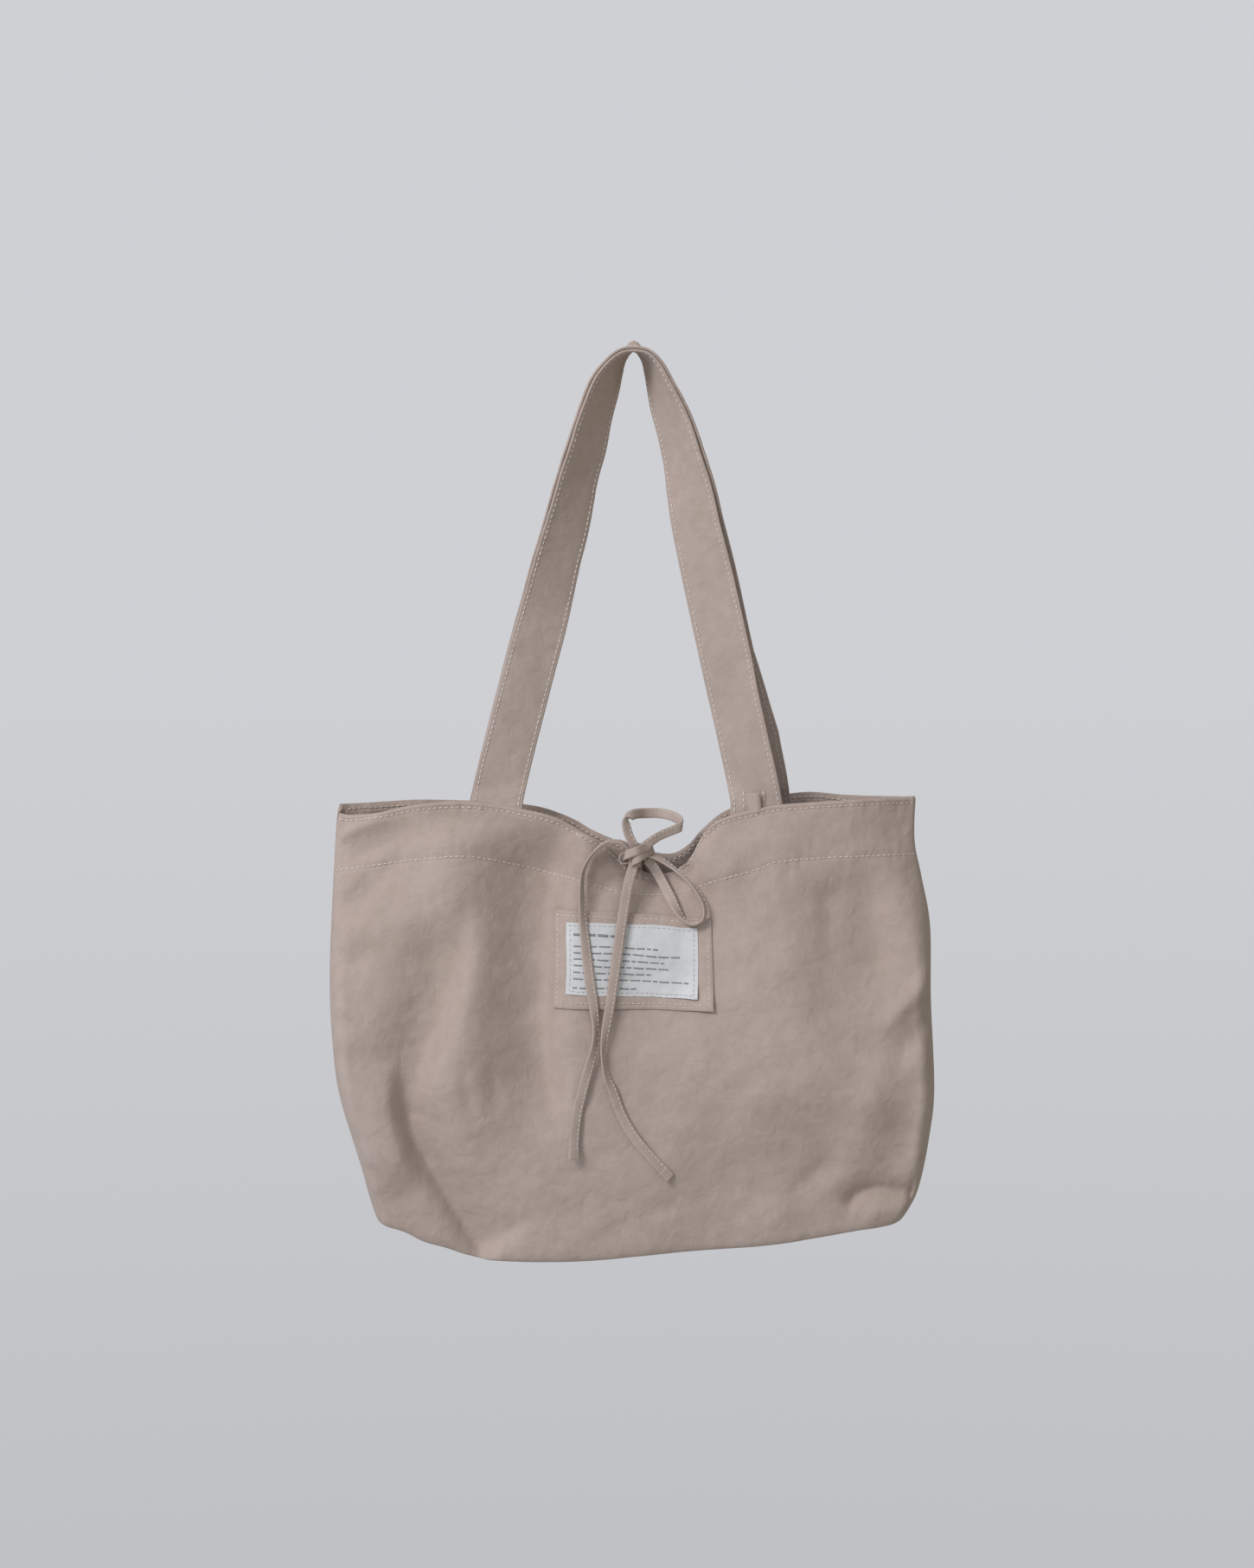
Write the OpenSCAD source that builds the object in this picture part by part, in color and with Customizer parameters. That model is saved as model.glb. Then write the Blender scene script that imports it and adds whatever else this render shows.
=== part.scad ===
// Canvas tote bag with two shoulder straps, a tied mouth, a boxed base and a sewn patch.
// It hangs from the crown of its straps. The origin is the underside of that crown,
// +Z is up, -Y is the front of the bag and +X is to the right of someone facing it.

/* [Body] */
// Width of the mouth between the side seams
mouth_w = 376; // [320:2:440]
// Greatest width of the body
body_w = 390; // [330:2:470]
// Width of the base between its corner seams
base_w = 328; // [260:2:400]
// Height of the body from the rim at the straps to the base
body_h = 290; // [220:2:380]
// Depth of the mouth from front to back, at the straps
mouth_d = 36; // [26:1:80]
// Depth of the boxed base from front to back
base_d = 78; // [50:1:120]
// Rise of the base corners above the middle of the base
corner_rise = 26; // [0:1:40]
// Sag of the base across its depth
base_sag = 4; // [1:0.5:10]
// Sag of the front rim between the straps
front_sag = 42; // [0:1:60]
// Sag of the back rim between the straps
back_sag = 30; // [0:1:60]
// Thickness of the canvas
cloth_t = 1; // [0.6:0.1:2]

/* [Hem and seams] */
// Height of the turned-in hem
hem_h = 38; // [20:1:60]
// Width of the seam allowances inside the bag
seam_w = 9; // [5:0.5:14]
// Thickness of a bound seam allowance
seam_t = 1.8; // [1:0.1:3]

/* [Straps] */
// Height of the hang point above the rim
strap_drop = 290; // [220:5:360]
// Width of a strap
strap_w = 34; // [20:1:44]
// Thickness of a strap
strap_t = 1.6; // [1:0.1:3]
// Distance of the left legs from the middle of the bag
strap_left = 90; // [70:1:120]
// Distance of the right legs from the middle of the bag
strap_right = 80; // [70:1:120]
// How much further apart the back strap's legs are sewn, on each side
back_spread = 6; // [0:1:15]
// Gap between the two straps where they nest at the crown
crown_gap = 2.4; // [0.4:0.1:3]
// Length of strap sewn down inside the hem
strap_sewn = 32; // [15:1:36]

/* [Patch] */
// Width of the canvas patch on the front
patch_w = 104; // [60:1:140]
// Height of the canvas patch
patch_h = 63; // [40:1:90]
// Distance from the rim at the straps down to the middle of the patch
patch_down = 102; // [80:1:180]
// Width of the woven label on the patch
label_w = 84; // [40:1:120]
// Height of the woven label
label_h = 48; // [20:1:70]
// Thickness of the woven label
label_t = 0.5; // [0.3:0.1:1]

/* [Ties] */
// Width of the tie tape
tape_w = 6.6; // [4:0.2:10]
// Thickness of the tie tape
tape_t = 1.4; // [0.8:0.1:2]
// Sideways place of the ties from the middle of the bag
tie_x = 2; // [-10:1:10]
// Length of tie tape sewn down inside the hem
tape_sewn = 20; // [10:1:30]

/* [Keeper loop] */
// Width of the keeper loop's tape
keeper_w = 10; // [6:1:20]
// Reach of the keeper loop from its stitching to its fold
keeper_reach = 16; // [10:1:25]
// Thickness across the keeper loop where it stands open
keeper_open = 3; // [2.4:0.1:4]
// Height of the keeper loop above the rim
keeper_up = 4; // [2:1:60]
// Distance of the keeper loop from the inner edge of the strap
keeper_in = 7; // [1:0.5:15]

/* [Hidden] */

fit = 0.3; // gap between layers that lie on each other
swing = 0.5; // gap where a strap swings past the rim
corner_foot = cloth_t + 5; // height of a corner seam above the corner of the base
front = -1; // side of the bag, as the sign of its Y
back = 1;
wall = cloth_t + fit / 2; // half the bag's thickness at a side seam
hem_in = 2 * cloth_t + 2 * fit; // from the outside of the bag to the inside of the hem
flat_x = max(strap_left, strap_right) + back_spread + strap_w / 2 + 2; // half of the rim's straight run
sag_x = min(strap_left + tie_x, strap_right - tie_x) - strap_w / 2; // half of the rim's sag
rim_y = wall + mouth_d / 2; // outside of the rim from the middle of the bag
canvas = [0.68, 0.6, 0.57];
thread = [0.84, 0.76, 0.68];
label_colour = [0.68, 0.69, 0.69];

function mix(a, b, t) = a + (b - a) * t;
function clamp01(t) = min(max(t, 0), 1);
function ease(t) = let(c = clamp01(t)) c * c * (3 - 2 * c);
function unit(v) = v / norm(v);

// The body of the bag: v runs from 0 at the rim to 1 at the base and 2 at the bottom seam.
function half_width(v) = mix(mix(mouth_w, body_w, ease(v / 0.3)), base_w, pow(clamp01((v - 0.55) / 0.45), 1.8)) / 2;
function depth(v) = mix(mouth_d, base_d, ease(v / 0.7)) / 2;
function flat_part(v) = mix(flat_x / half_width(0), 0.9, ease(v / 0.8));
function bulge(s, v) = let(f = flat_part(v)) 1 - pow(clamp01((s - f) / (1 - f)), 2);
function sag(side) = side == front ? front_sag : back_sag;
function rim_z(x, side) = -strap_drop - sag(side) * (0.5 + 0.5 * cos(180 * min(abs(x - tie_x) / sag_x, 1)));
function base_z(s) = -strap_drop - body_h + corner_rise * pow(s, 4);

// A point of the outside of a panel, from the share u of its width (-1 to 1) and v.
function panel_point(u, v, side) =
    let(s = sin(90 * u), w = min(v, 1), b = max(v - 1, 0),
        x = s * half_width(w) * (1 - 0.05 * b * pow(abs(s), 8)),
        z = mix(rim_z(x, side), base_z(abs(s)), w) - base_sag * b,
        y = wall + depth(w) * bulge(abs(s), w) * (1 - b))
    [x, side * max(y, fit / 2), z];

// How deep the outside of a panel lies at x and z, on the part above the base.
function share_down(x, z, side) = (rim_z(x, side) - z) / (rim_z(x, side) + strap_drop + body_h);
function outside_y(x, z, side) =
    let(v = clamp01(share_down(x, z, side))) side * (wall + depth(v) * bulge(abs(x) / half_width(v), v));

// Steps a point of a panel inwards through the cloth, never past the middle of the bag.
function inward(u, v, side, d) =
    let(e = 0.01, p = panel_point(u, v, side),
        a = panel_point(min(u + e, 1), v, side) - panel_point(max(u - e, -1), v, side),
        c = panel_point(u, min(v + e, 2), side) - panel_point(u, max(v - e, 0), side),
        n = unit(cross(a, c)), q = p + n * d * (n * [0, side, 0] < 0 ? 1 : -1),
        r = v > 1 + e ? p + unit([0, -side * 0.2, 1]) * d : q)
    [r[0], side * max(side * r[1], fit / 2), r[2]];

// Closes two grids of points, an outer and an inner one, into one sheet with thickness.
module sheet(outer, inner) {
    rows = len(outer);
    cols = len(outer[0]);
    n = rows * cols;
    points = concat([for (r = outer) each r], [for (r = inner) each r]);
    function at(r, c) = r * cols + c;
    faces = concat(
        [for (r = [0 : rows - 2], c = [0 : cols - 2]) each [
            [at(r, c), at(r, c + 1), at(r + 1, c)], [at(r, c + 1), at(r + 1, c + 1), at(r + 1, c)]]],
        [for (r = [0 : rows - 2], c = [0 : cols - 2]) each [
            [n + at(r, c), n + at(r + 1, c), n + at(r, c + 1)],
            [n + at(r, c + 1), n + at(r + 1, c), n + at(r + 1, c + 1)]]],
        [for (c = [0 : cols - 2], r = [0, rows - 1]) each let(a = at(r, c), b = at(r, c + 1), k = r == 0)
            [k ? [a, n + a, b] : [a, b, n + a], k ? [b, n + a, n + b] : [b, n + b, n + a]]],
        [for (r = [0 : rows - 2], c = [0, cols - 1]) each let(a = at(r, c), b = at(r + 1, c), k = c == 0)
            [k ? [a, b, n + a] : [a, n + a, b], k ? [b, n + b, n + a] : [b, n + a, n + b]]]);
    polyhedron(points, faces);
}

// A sheet that turns the right way round on either side of the bag.
module side_sheet(outer, inner, side) {
    if (side == front) sheet(outer, inner);
    else sheet(inner, outer);
}

// A rectangle of cloth on a panel, between two depths below the panel's outside.
module applied(x0, x1, z0, z1, side, d0, d1, cols = 8, rows = 6) {
    xs = [for (i = [0 : cols]) mix(x0, x1, i / cols)];
    zs = [for (i = [0 : rows]) mix(z1, z0, i / rows)];
    side_sheet([for (z = zs) [for (x = xs) [x, outside_y(x, z, side) - side * d0, z]]],
        [for (z = zs) [for (x = xs) [x, outside_y(x, z, side) - side * d1, z]]], side);
}

module panel(side) {
    us = [for (i = [-20 : 20]) i / 20];
    vs = concat([for (i = [0 : 22]) i / 22], [1.3, 1.65, 2]);
    side_sheet([for (v = vs) [for (u = us) panel_point(u, v, side)]],
        [for (v = vs) [for (u = us) inward(u, v, side, cloth_t)]], side);
}

module front_panel() { color(canvas) panel(front); }
module back_panel() { color(canvas) panel(back); }

// The turned-in hem lies inside the panel, from the rim down, and stops short of the side seams.
module hem(side) {
    reach = mouth_w / 2 - 6;
    xs = [for (i = [-20 : 20]) reach * i / 20];
    drops = [for (i = [0 : 4]) hem_h * i / 4];
    function line(d) = [for (h = drops) [for (x = xs)
        let(z = rim_z(x, side) - h) [x, outside_y(x, z, side) - side * d, z]]];
    side_sheet(line(cloth_t + fit), line(2 * cloth_t + fit), side);
}

module front_hem() { color(canvas) hem(front); }
module back_hem() { color(canvas) hem(back); }

// A side seam's allowance stands inwards in the middle plane of the bag, from the rim to the corner seam.
module side_seam(hand) {
    inset = 5;
    last = 1 - (corner_foot + seam_w + 2 * fit) / (body_h - corner_rise);
    vs = [for (i = [0 : 16]) mix(0.01, last, i / 16)];
    function line(y) = [for (v = vs) [for (x = [half_width(v) - inset - seam_w, half_width(v) - inset])
        [hand * x, y, mix(-strap_drop, base_z(1), v)]]];
    if (hand > 0) sheet(line(-seam_t / 2), line(seam_t / 2));
    else sheet(line(seam_t / 2), line(-seam_t / 2));
}

module left_side_seam() { color(thread) side_seam(-1); }
module right_side_seam() { color(thread) side_seam(1); }

// The bottom seam's allowance stands up from the middle of the base.
module bottom_seam() {
    reach = base_w / 2 - 22;
    lift = cloth_t + 2 * fit;
    xs = [for (i = [-10 : 10]) reach * i / 10];
    function line(y) = [for (h = [lift + seam_w, lift]) [for (x = xs)
        [x, y, base_z(abs(x) * 2 / base_w) - base_sag + h]]];
    color(thread) sheet(line(-seam_t / 2), line(seam_t / 2));
}

// A corner seam's allowance stands up inside, across the end of the base.
module corner_seam(hand) {
    inset = 8;
    x = base_w / 2 - inset;
    reach = depth(1) * bulge(1 - (inset + seam_t) / (base_w / 2), 1) - cloth_t;
    translate([hand > 0 ? x - seam_t : -x, -reach, base_z(1) + corner_foot])
        cube([seam_t, 2 * reach, seam_w]);
}

module left_corner_seam() { color(thread) corner_seam(-1); }
module right_corner_seam() { color(thread) corner_seam(1); }

// Half of a strap's run, from the crown down one leg: height, reach from the middle, and how far
// the strap is turned from flat (0) to edge-on (90). The last stretch runs straight to the rim.
strap_run = [[0, 0, 90], [-1.5, 6.5, 82], [-8, 12.5, 70], [-18, 17, 58], [-32, 22, 48],
    [-54, 28.5, 39], [-82, 35, 32]];
// Shares of the leg below that, with the turn of the strap at each.
leg_run = [[0.15, 27], [0.3, 20], [0.45, 13], [0.6, 7], [0.75, 2], [0.9, 0], [1, 0]];
rim_reach = swing; // the free strap starts this far above the rim

function stations(leg_x) =
    let(last = strap_run[len(strap_run) - 1], foot = -strap_drop + rim_reach)
    concat(strap_run, [for (l = leg_run) [mix(last[0], foot, l[0]), mix(last[1], leg_x, l[0]), l[1]]]);

// A smooth curve through a list of points, with k steps between two of them.
function curve_at(p, i, t) =
    let(n = len(p) - 1, a = p[max(i - 1, 0)], b = p[i], c = p[min(i + 1, n)], d = p[min(i + 2, n)])
    0.5 * (2 * b + (c - a) * t + (2 * a - 5 * b + 4 * c - d) * t * t + (3 * b - a - 3 * c + d) * t * t * t);
function smooth_run(p, k) =
    concat([for (i = [0 : len(p) - 2], j = [0 : k - 1]) curve_at(p, i, j / k)], [p[len(p) - 1]]);

// Where a strap's middle plane stands at the rim, from the middle of the bag.
strap_y = rim_y - hem_in - swing - strap_t / 2;

// One ring of a strap: its four corners. The strap's outer edge is also its front edge at the crown.
function strap_ring(q, slope, hand, side) =
    let(turn = q[2], spread = ease((-q[0] - 60) / (strap_drop - 60)),
        out = [hand * slope[0], 0, slope[1]],
        across = out * cos(turn) - [0, sin(turn), 0],
        up = out * sin(turn) + [0, cos(turn), 0],
        nest = side == back ? strap_t + crown_gap : 0,
        x = q[1] + (side == back ? back_spread * spread : 0),
        middle = [hand * x, side * strap_y * spread, q[0] + strap_t / 2] + up * nest * (1 - spread))
    [for (c = [[-1, -1], [1, -1], [1, 1], [-1, 1]])
        middle + across * c[0] * strap_w / 2 + up * c[1] * strap_t / 2];

function leg(leg_x, hand, side) =
    let(run = smooth_run(stations(leg_x), 4), n = len(run) - 1)
    [for (i = [0 : n]) let(t = run[min(i + 1, n)] - run[max(i - 1, 0)],
            level = ease((i - n + 5) / 5), d = i == 0 ? [0, 1] : unit([-t[0], t[1] * (1 - level)]))
        strap_ring(run[i], d, hand, side)];

// Closes a list of rings, each with the same number of corners, into one solid.
module loft(rings) {
    n = len(rings);
    m = len(rings[0]);
    faces = concat([[for (j = [m - 1 : -1 : 0]) j], [for (j = [0 : m - 1]) (n - 1) * m + j]],
        [for (i = [0 : n - 2], j = [0 : m - 1]) each let(a = i * m + j, b = i * m + (j + 1) % m)
            j < m / 2 ? [[a, b, b + m], [a, b + m, a + m]] : [[a, b, a + m], [b, b + m, a + m]]]);
    polyhedron([for (r = rings) each r], faces);
}

module strap(side) {
    left = leg(strap_left, -1, side);
    right = leg(strap_right, 1, side);
    n = len(left) - 1;
    // The left leg's rings run the other way round, so each is turned to follow on from the right leg's.
    loft(concat([for (i = [n : -1 : 1]) left[i]], right));
}

module front_strap() { color(canvas) strap(front); }
module back_strap() { color(canvas) strap(back); }

// The sewn end of a strap lies on the inside of the hem, below the rim.
module strap_end(x, side) {
    top = -strap_drop - fit;
    applied(x - strap_w / 2, x + strap_w / 2, top - strap_sewn, top, side, hem_in, hem_in + strap_t, 4, 4);
}

module front_strap_left_end() { color(canvas) strap_end(-strap_left, front); }
module front_strap_right_end() { color(canvas) strap_end(strap_right, front); }
module back_strap_left_end() { color(canvas) strap_end(-strap_left - back_spread, back); }
module back_strap_right_end() { color(canvas) strap_end(strap_right + back_spread, back); }

// A short tape folded into a loop, sewn to the front strap's right leg, open upwards and downwards.
module keeper_loop() {
    tab = 5;
    layer = 0.8;
    x = strap_right - strap_w / 2 + keeper_in;
    z = -strap_drop + rim_reach + keeper_up;
    bend = [keeper_reach - keeper_open / 2, 2 * layer - keeper_open / 2];
    color(canvas)
        translate([x, -strap_y - strap_t / 2 - 2 * layer - fit, z])
        linear_extrude(keeper_w)
        difference() {
            hull() {
                square([tab, 2 * layer]);
                translate(bend) circle(d = keeper_open, $fn = 32);
            }
            hull() {
                translate([tab, layer - 0.1]) square([0.2, 0.2]);
                translate(bend) circle(d = keeper_open - 2 * layer, $fn = 32);
            }
        }
}

// A rectangle on the front, w wide and h high, with its back face at a height off the panel.
module badge(w, h, off, thick) {
    z = -strap_drop - patch_down;
    applied(-w / 2, w / 2, z - h / 2, z + h / 2, front, -off - thick, -off, 10, 8);
}

module front_patch() { color(canvas) badge(patch_w, patch_h, fit, cloth_t); }
module woven_label() { color(label_colour) badge(label_w, label_h, 2 * fit + cloth_t, label_t); }

// Ties: each step of a route is a point and the way in which the tape's width lies there. A point is
// its sideways place, its lift off the front panel and its height from the rim at the straps.
left_tail_run = [
    [[-2.8, 7.4, -29.6], [0, 1, 0.5]], [[-6.5, 8, -26.8], [0, 1, 0.45]],
    [[-11, 8, -25.5], [0, 1, 0.35]], [[-18.5, 8, -26.2], [0, 1, 0.2]],
    [[-26.2, 6.5, -32.5], [0.15, 1, 0.1]], [[-31.4, 6, -41], [0.25, 1, 0]],
    [[-33.6, 5.5, -49.5], [0.35, 1, 0]], [[-33.8, 5, -63.2], [0.6, 1, 0]],
    [[-32.8, 5, -77.6], [0.9, 0.8, 0]], [[-31.3, 5, -91.5], [1, 0.45, 0]],
    [[-28.8, 5, -113], [1, 0.2, 0]], [[-26.2, 5, -130], [1, 0.35, 0]],
    [[-24.6, 5.5, -145.7], [0.6, 1, 0]], [[-25.6, 5.5, -157.5], [0.75, 0.9, 0]],
    [[-28.5, 5, -168.8], [1, 0.5, 0]], [[-32.5, 4.5, -183], [1, 0.25, 0]],
    [[-36.2, 4, -199], [1, 0.3, 0]], [[-38.1, 4, -214.5], [1, 0.35, 0]], [[-38.9, 4, -228], [1, 0.4, 0]]];
right_tail_run = [
    [[0.4, 8.6, -38.6], [1, 0.3, 0.2]], [[-0.8, 9, -43], [1, 0.25, 0.1]],
    [[-4.2, 7.5, -55.5], [1, 0.2, 0]], [[-7.8, 6.2, -77.6], [1, 0.15, -0.05]],
    [[-11.5, 6, -103.5], [1, 0.15, -0.05]], [[-15.4, 6, -130.6], [1, 0.3, -0.05]],
    [[-18, 5.5, -145.7], [0.9, 0.55, 0]], [[-19.7, 5, -157.5], [0.55, 0.9, 0]],
    [[-19.8, 4.5, -165.5], [0.3, 1, 0.1]], [[-17.3, 4, -177.2], [0.6, 0.9, 0.35]],
    [[-13.8, 3.5, -185], [0.8, 0.6, 0.45]], [[-8.1, 3, -200.6], [0.9, 0.35, 0.5]],
    [[1.3, 3, -216.3], [0.85, 0.3, 0.6]], [[14.7, 3, -231.6], [0.8, 0.3, 0.65]],
    [[22.5, 3, -240.5], [0.8, 0.3, 0.65]]];
upper_loop_run = [
    [[1.6, 9, -30.2], [1, 0.5, 0]], [[-1.2, 9.5, -26], [1, 0.5, 0]], [[-4.2, 8, -18.5], [1, 0.6, 0.1]],
    [[-4.8, 6, -12], [0.7, 0.8, 0.5]], [[-0.5, 3, -8], [0, 0.35, 1]], [[8, 0, -7.2], [0, 0.15, 1]],
    [[17.5, -1, -7.3], [0, 0.15, 1]], [[25.6, 1, -9.2], [0.05, 0.15, 1]],
    [[30.8, 5, -12.5], [0.1, 0, 1]], [[30.5, 11.5, -15.8], [0.1, -0.25, 1]],
    [[24.5, 15, -18.5], [0, -0.55, 1]], [[16.5, 15.5, -22], [0, -0.6, 1]],
    [[9.5, 13.5, -26.8], [-0.15, -0.4, 1]], [[6, 11, -30.5], [-0.3, -0.2, 1]]];
lower_loop_run = [
    [[8.6, 8.6, -33.6], [0.25, 1, 0.5]], [[14.5, 9, -36], [0.2, 1, 0.45]],
    [[21.8, 8.5, -40.2], [0.15, 1, 0.35]], [[30.2, 8, -46.3], [0.1, 1, 0.2]],
    [[38, 7.5, -53.8], [0.2, 1, 0.1]], [[44, 7, -62.6], [0.4, 1, 0.05]],
    [[46.2, 6.5, -70.2], [0.4, 1, -0.1]], [[44.5, 6, -76.5], [0.15, 1, -0.2]],
    [[38.5, 6, -78.8], [0.1, 1, 0.15]], [[32.2, 6.5, -75.8], [0.3, 1, 0.1]],
    [[27.5, 7.5, -69], [0.8, 0.8, 0.4]], [[23.8, 7.8, -62], [0.9, 0.3, 0.5]],
    [[18.2, 7.8, -51.5], [0.9, 0.15, 0.45]], [[12.5, 8, -41.8], [0.9, 0.15, 0.45]],
    [[8.6, 8, -37.6], [0.85, 0.3, 0.45]]];
knot_down = -34;
knot_lift = 7;

// The point of a route, in front of the panel. Above the rim it keeps the rim's own depth.
function lie(q) =
    let(h = q[2] - strap_drop, z = min(h, rim_z(q[0], front) - 1))
    [q[0], outside_y(q[0], z, front) - q[1], h];

// Eight corners of a flat tape round a point: way is how it runs, and wide where its width lies.
function tape_ring(p, way, wide) =
    let(w = unit(wide - way * (wide * way)), t = unit(cross(w, way)), k = 0.7)
    [for (c = [[1, k], [k, 1], [-k, 1], [-1, k], [-1, -k], [-k, -1], [k, -1], [1, -k]])
        p + w * c[0] * tape_w / 2 + t * c[1] * tape_t / 2];

module tape(points, wides) {
    run = smooth_run(points, 2);
    across = smooth_run(wides, 2);
    n = len(run) - 1;
    color(canvas) loft([for (i = [0 : n])
        tape_ring(run[i], unit(run[min(i + 1, n)] - run[max(i - 1, 0)]), across[i])]);
}

module routed(run) { tape([for (q = run) lie(q[0])], [for (q = run) q[1]]); }

module left_tail() { routed(left_tail_run); }
module right_tail() { routed(right_tail_run); }
module upper_bow_loop() { routed(upper_loop_run); }
module lower_bow_loop() { routed(lower_loop_run); }

// The end of a tail is folded back on itself and sewn: a short thicker tab just past the tape.
module tail_end(run) {
    n = len(run) - 1;
    a = lie(run[n][0]);
    way = unit(a - lie(run[n - 1][0]));
    w = unit(run[n][1] - way * (run[n][1] * way));
    t = unit(cross(w, way));
    long = 8;
    color(canvas) loft([for (d = [fit, fit + long]) [for (c = [[1, 1], [-1, 1], [-1, -1], [1, -1]])
        a + way * d + w * c[0] * tape_w / 2 + t * c[1] * tape_t]]);
}

module left_tail_end() { tail_end(left_tail_run); }
module right_tail_end() { tail_end(right_tail_run); }

module bow_knot() {
    middle = lie([tie_x, knot_lift, knot_down]);
    color(canvas) translate(middle) hull() {
        translate([-5, 0, 1]) sphere(r = 3.6, $fn = 20);
        translate([4, 0, 2]) sphere(r = 4, $fn = 20);
        translate([2, -1, -4]) sphere(r = 3.4, $fn = 20);
    }
}

// A tie is sewn inside the hem, comes up over the rim's inner edge and runs to the knot.
module tie(side) {
    top = rim_z(tie_x, side);
    inner = side * (rim_y - hem_in - fit - tape_t / 2);
    middle = lie([tie_x, knot_lift, knot_down]);
    sewn = [[tie_x, inner, top - tape_sewn], [tie_x, inner, top - tape_sewn / 2]];
    free = side == front
        ? [[tie_x, inner, top], [tie_x, inner - 1, top + 5], [tie_x, middle[1] + 3, middle[2] + 2]]
        : [[tie_x, inner, top - 2], [tie_x, inner - 4, top + 4], [tie_x, 0, mix(top, middle[2], 0.2) + 3],
            [tie_x, middle[1] + 2, middle[2] + 4.2]];
    route = concat(sewn, free);
    tape(route, [for (q = route) [1, 0, 0]]);
}

module front_tie() { tie(front); }
module back_tie() { tie(back); }

front_panel();
back_panel();
front_hem();
back_hem();
left_side_seam();
right_side_seam();
bottom_seam();
left_corner_seam();
right_corner_seam();
front_strap();
back_strap();
front_strap_left_end();
front_strap_right_end();
back_strap_left_end();
back_strap_right_end();
keeper_loop();
front_patch();
woven_label();
front_tie();
back_tie();
bow_knot();
upper_bow_loop();
lower_bow_loop();
left_tail();
right_tail();
left_tail_end();
right_tail_end();
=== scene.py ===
# Canvas tote bag hanging from its straps: the looks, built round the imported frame.
import bmesh
import bpy
import math
import numpy as np
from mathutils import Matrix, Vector, noise


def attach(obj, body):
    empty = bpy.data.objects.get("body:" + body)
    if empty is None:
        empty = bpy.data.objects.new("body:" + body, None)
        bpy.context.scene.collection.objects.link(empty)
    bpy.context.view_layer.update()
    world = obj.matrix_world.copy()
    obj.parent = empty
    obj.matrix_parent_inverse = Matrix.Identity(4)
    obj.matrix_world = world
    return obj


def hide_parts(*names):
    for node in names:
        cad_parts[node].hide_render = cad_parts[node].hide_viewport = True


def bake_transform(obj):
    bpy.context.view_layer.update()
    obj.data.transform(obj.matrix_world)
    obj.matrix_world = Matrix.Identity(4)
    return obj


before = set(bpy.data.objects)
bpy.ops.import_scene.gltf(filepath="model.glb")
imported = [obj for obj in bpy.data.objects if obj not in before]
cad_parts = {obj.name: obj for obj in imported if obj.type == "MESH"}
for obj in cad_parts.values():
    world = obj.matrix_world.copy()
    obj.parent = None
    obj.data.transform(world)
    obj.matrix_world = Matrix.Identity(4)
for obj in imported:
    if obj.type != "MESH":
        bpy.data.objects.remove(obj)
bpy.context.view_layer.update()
mm = 0.001
frontSide, backSide = -1, 1
print("frame loaded:", len(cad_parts), "nodes")

# Camera.
cameraSet = {"place": (-0.0045, -1.48, -0.278), "lens": 51.4, "sensor": 36}


def makeCamera(s):
    data = bpy.data.cameras.new("camera")
    data.sensor_fit = "VERTICAL"
    data.sensor_height = s["sensor"]
    data.lens = s["lens"]
    data.dof.use_dof = False
    camera = bpy.data.objects.new("camera", data)
    camera.location = s["place"]
    camera.rotation_euler = (math.pi / 2, 0, 0)
    bpy.context.collection.objects.link(camera)
    bpy.context.scene.camera = camera


makeCamera(cameraSet)
print("camera placed")


# Small helpers.
def ease(t):
    t = np.clip(t, 0, 1)
    return t * t * (3 - 2 * t)


def mix(a, b, t):
    return a + (b - a) * t


def spline(points, steps):
    # A smooth dense line through the points.
    p = np.array(points, float)
    first, last = 2 * p[0] - p[1], 2 * p[-1] - p[-2]
    q = np.vstack([first, p, last])
    t = np.linspace(0, 1, steps, endpoint=False)[:, None]
    runs = []
    for i in range(len(p) - 1):
        a, b, c, d = q[i], q[i + 1], q[i + 2], q[i + 3]
        runs.append(0.5 * (2 * b + (c - a) * t + (2 * a - 5 * b + 4 * c - d) * t ** 2
            + (3 * b - a - 3 * c + d) * t ** 3))
    return np.vstack(runs + [p[-1:]])


def outline(points):
    dense = spline(points, 12)
    order = np.argsort(dense[:, 0])
    return lambda t: np.interp(t, dense[order, 0], dense[order, 1])


def wander(x, z, size, seed):
    # Soft noise, about -1 to 1, with bumps of the given size.
    flat = np.column_stack([np.ravel(x), np.ravel(z)]) / size
    values = [noise.noise(Vector((a, b, seed * 7.31))) for a, b in flat]
    return np.reshape(values, np.shape(x)) * 1.6


def unitRows(v):
    return v / np.maximum(np.linalg.norm(v, axis=-1, keepdims=True), 1e-12)


def turnOutward(mesh):
    # Turns the faces of a closed mesh outward if they point inward.
    work = bmesh.new()
    work.from_mesh(mesh)
    if work.calc_volume(signed=True) < 0:
        bmesh.ops.reverse_faces(work, faces=work.faces)
        work.to_mesh(mesh)
    work.free()


def newPiece(name, points, faces, material, uv=None, smooth=True, closed=True):
    mesh = bpy.data.meshes.new(name)
    mesh.from_pydata(points.tolist(), [], faces)
    mesh.update()
    if uv is not None:
        layer = mesh.uv_layers.new(name="UVMap")
        loops = np.empty(len(mesh.loops), dtype=np.int32)
        mesh.loops.foreach_get("vertex_index", loops)
        layer.data.foreach_set("uv", uv[loops].astype(np.float32).ravel())
    if closed:
        turnOutward(mesh)
    if smooth:
        mesh.shade_smooth()
    mesh.materials.append(material)
    piece = bpy.data.objects.new(name, mesh)
    bpy.context.collection.objects.link(piece)
    return piece


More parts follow.
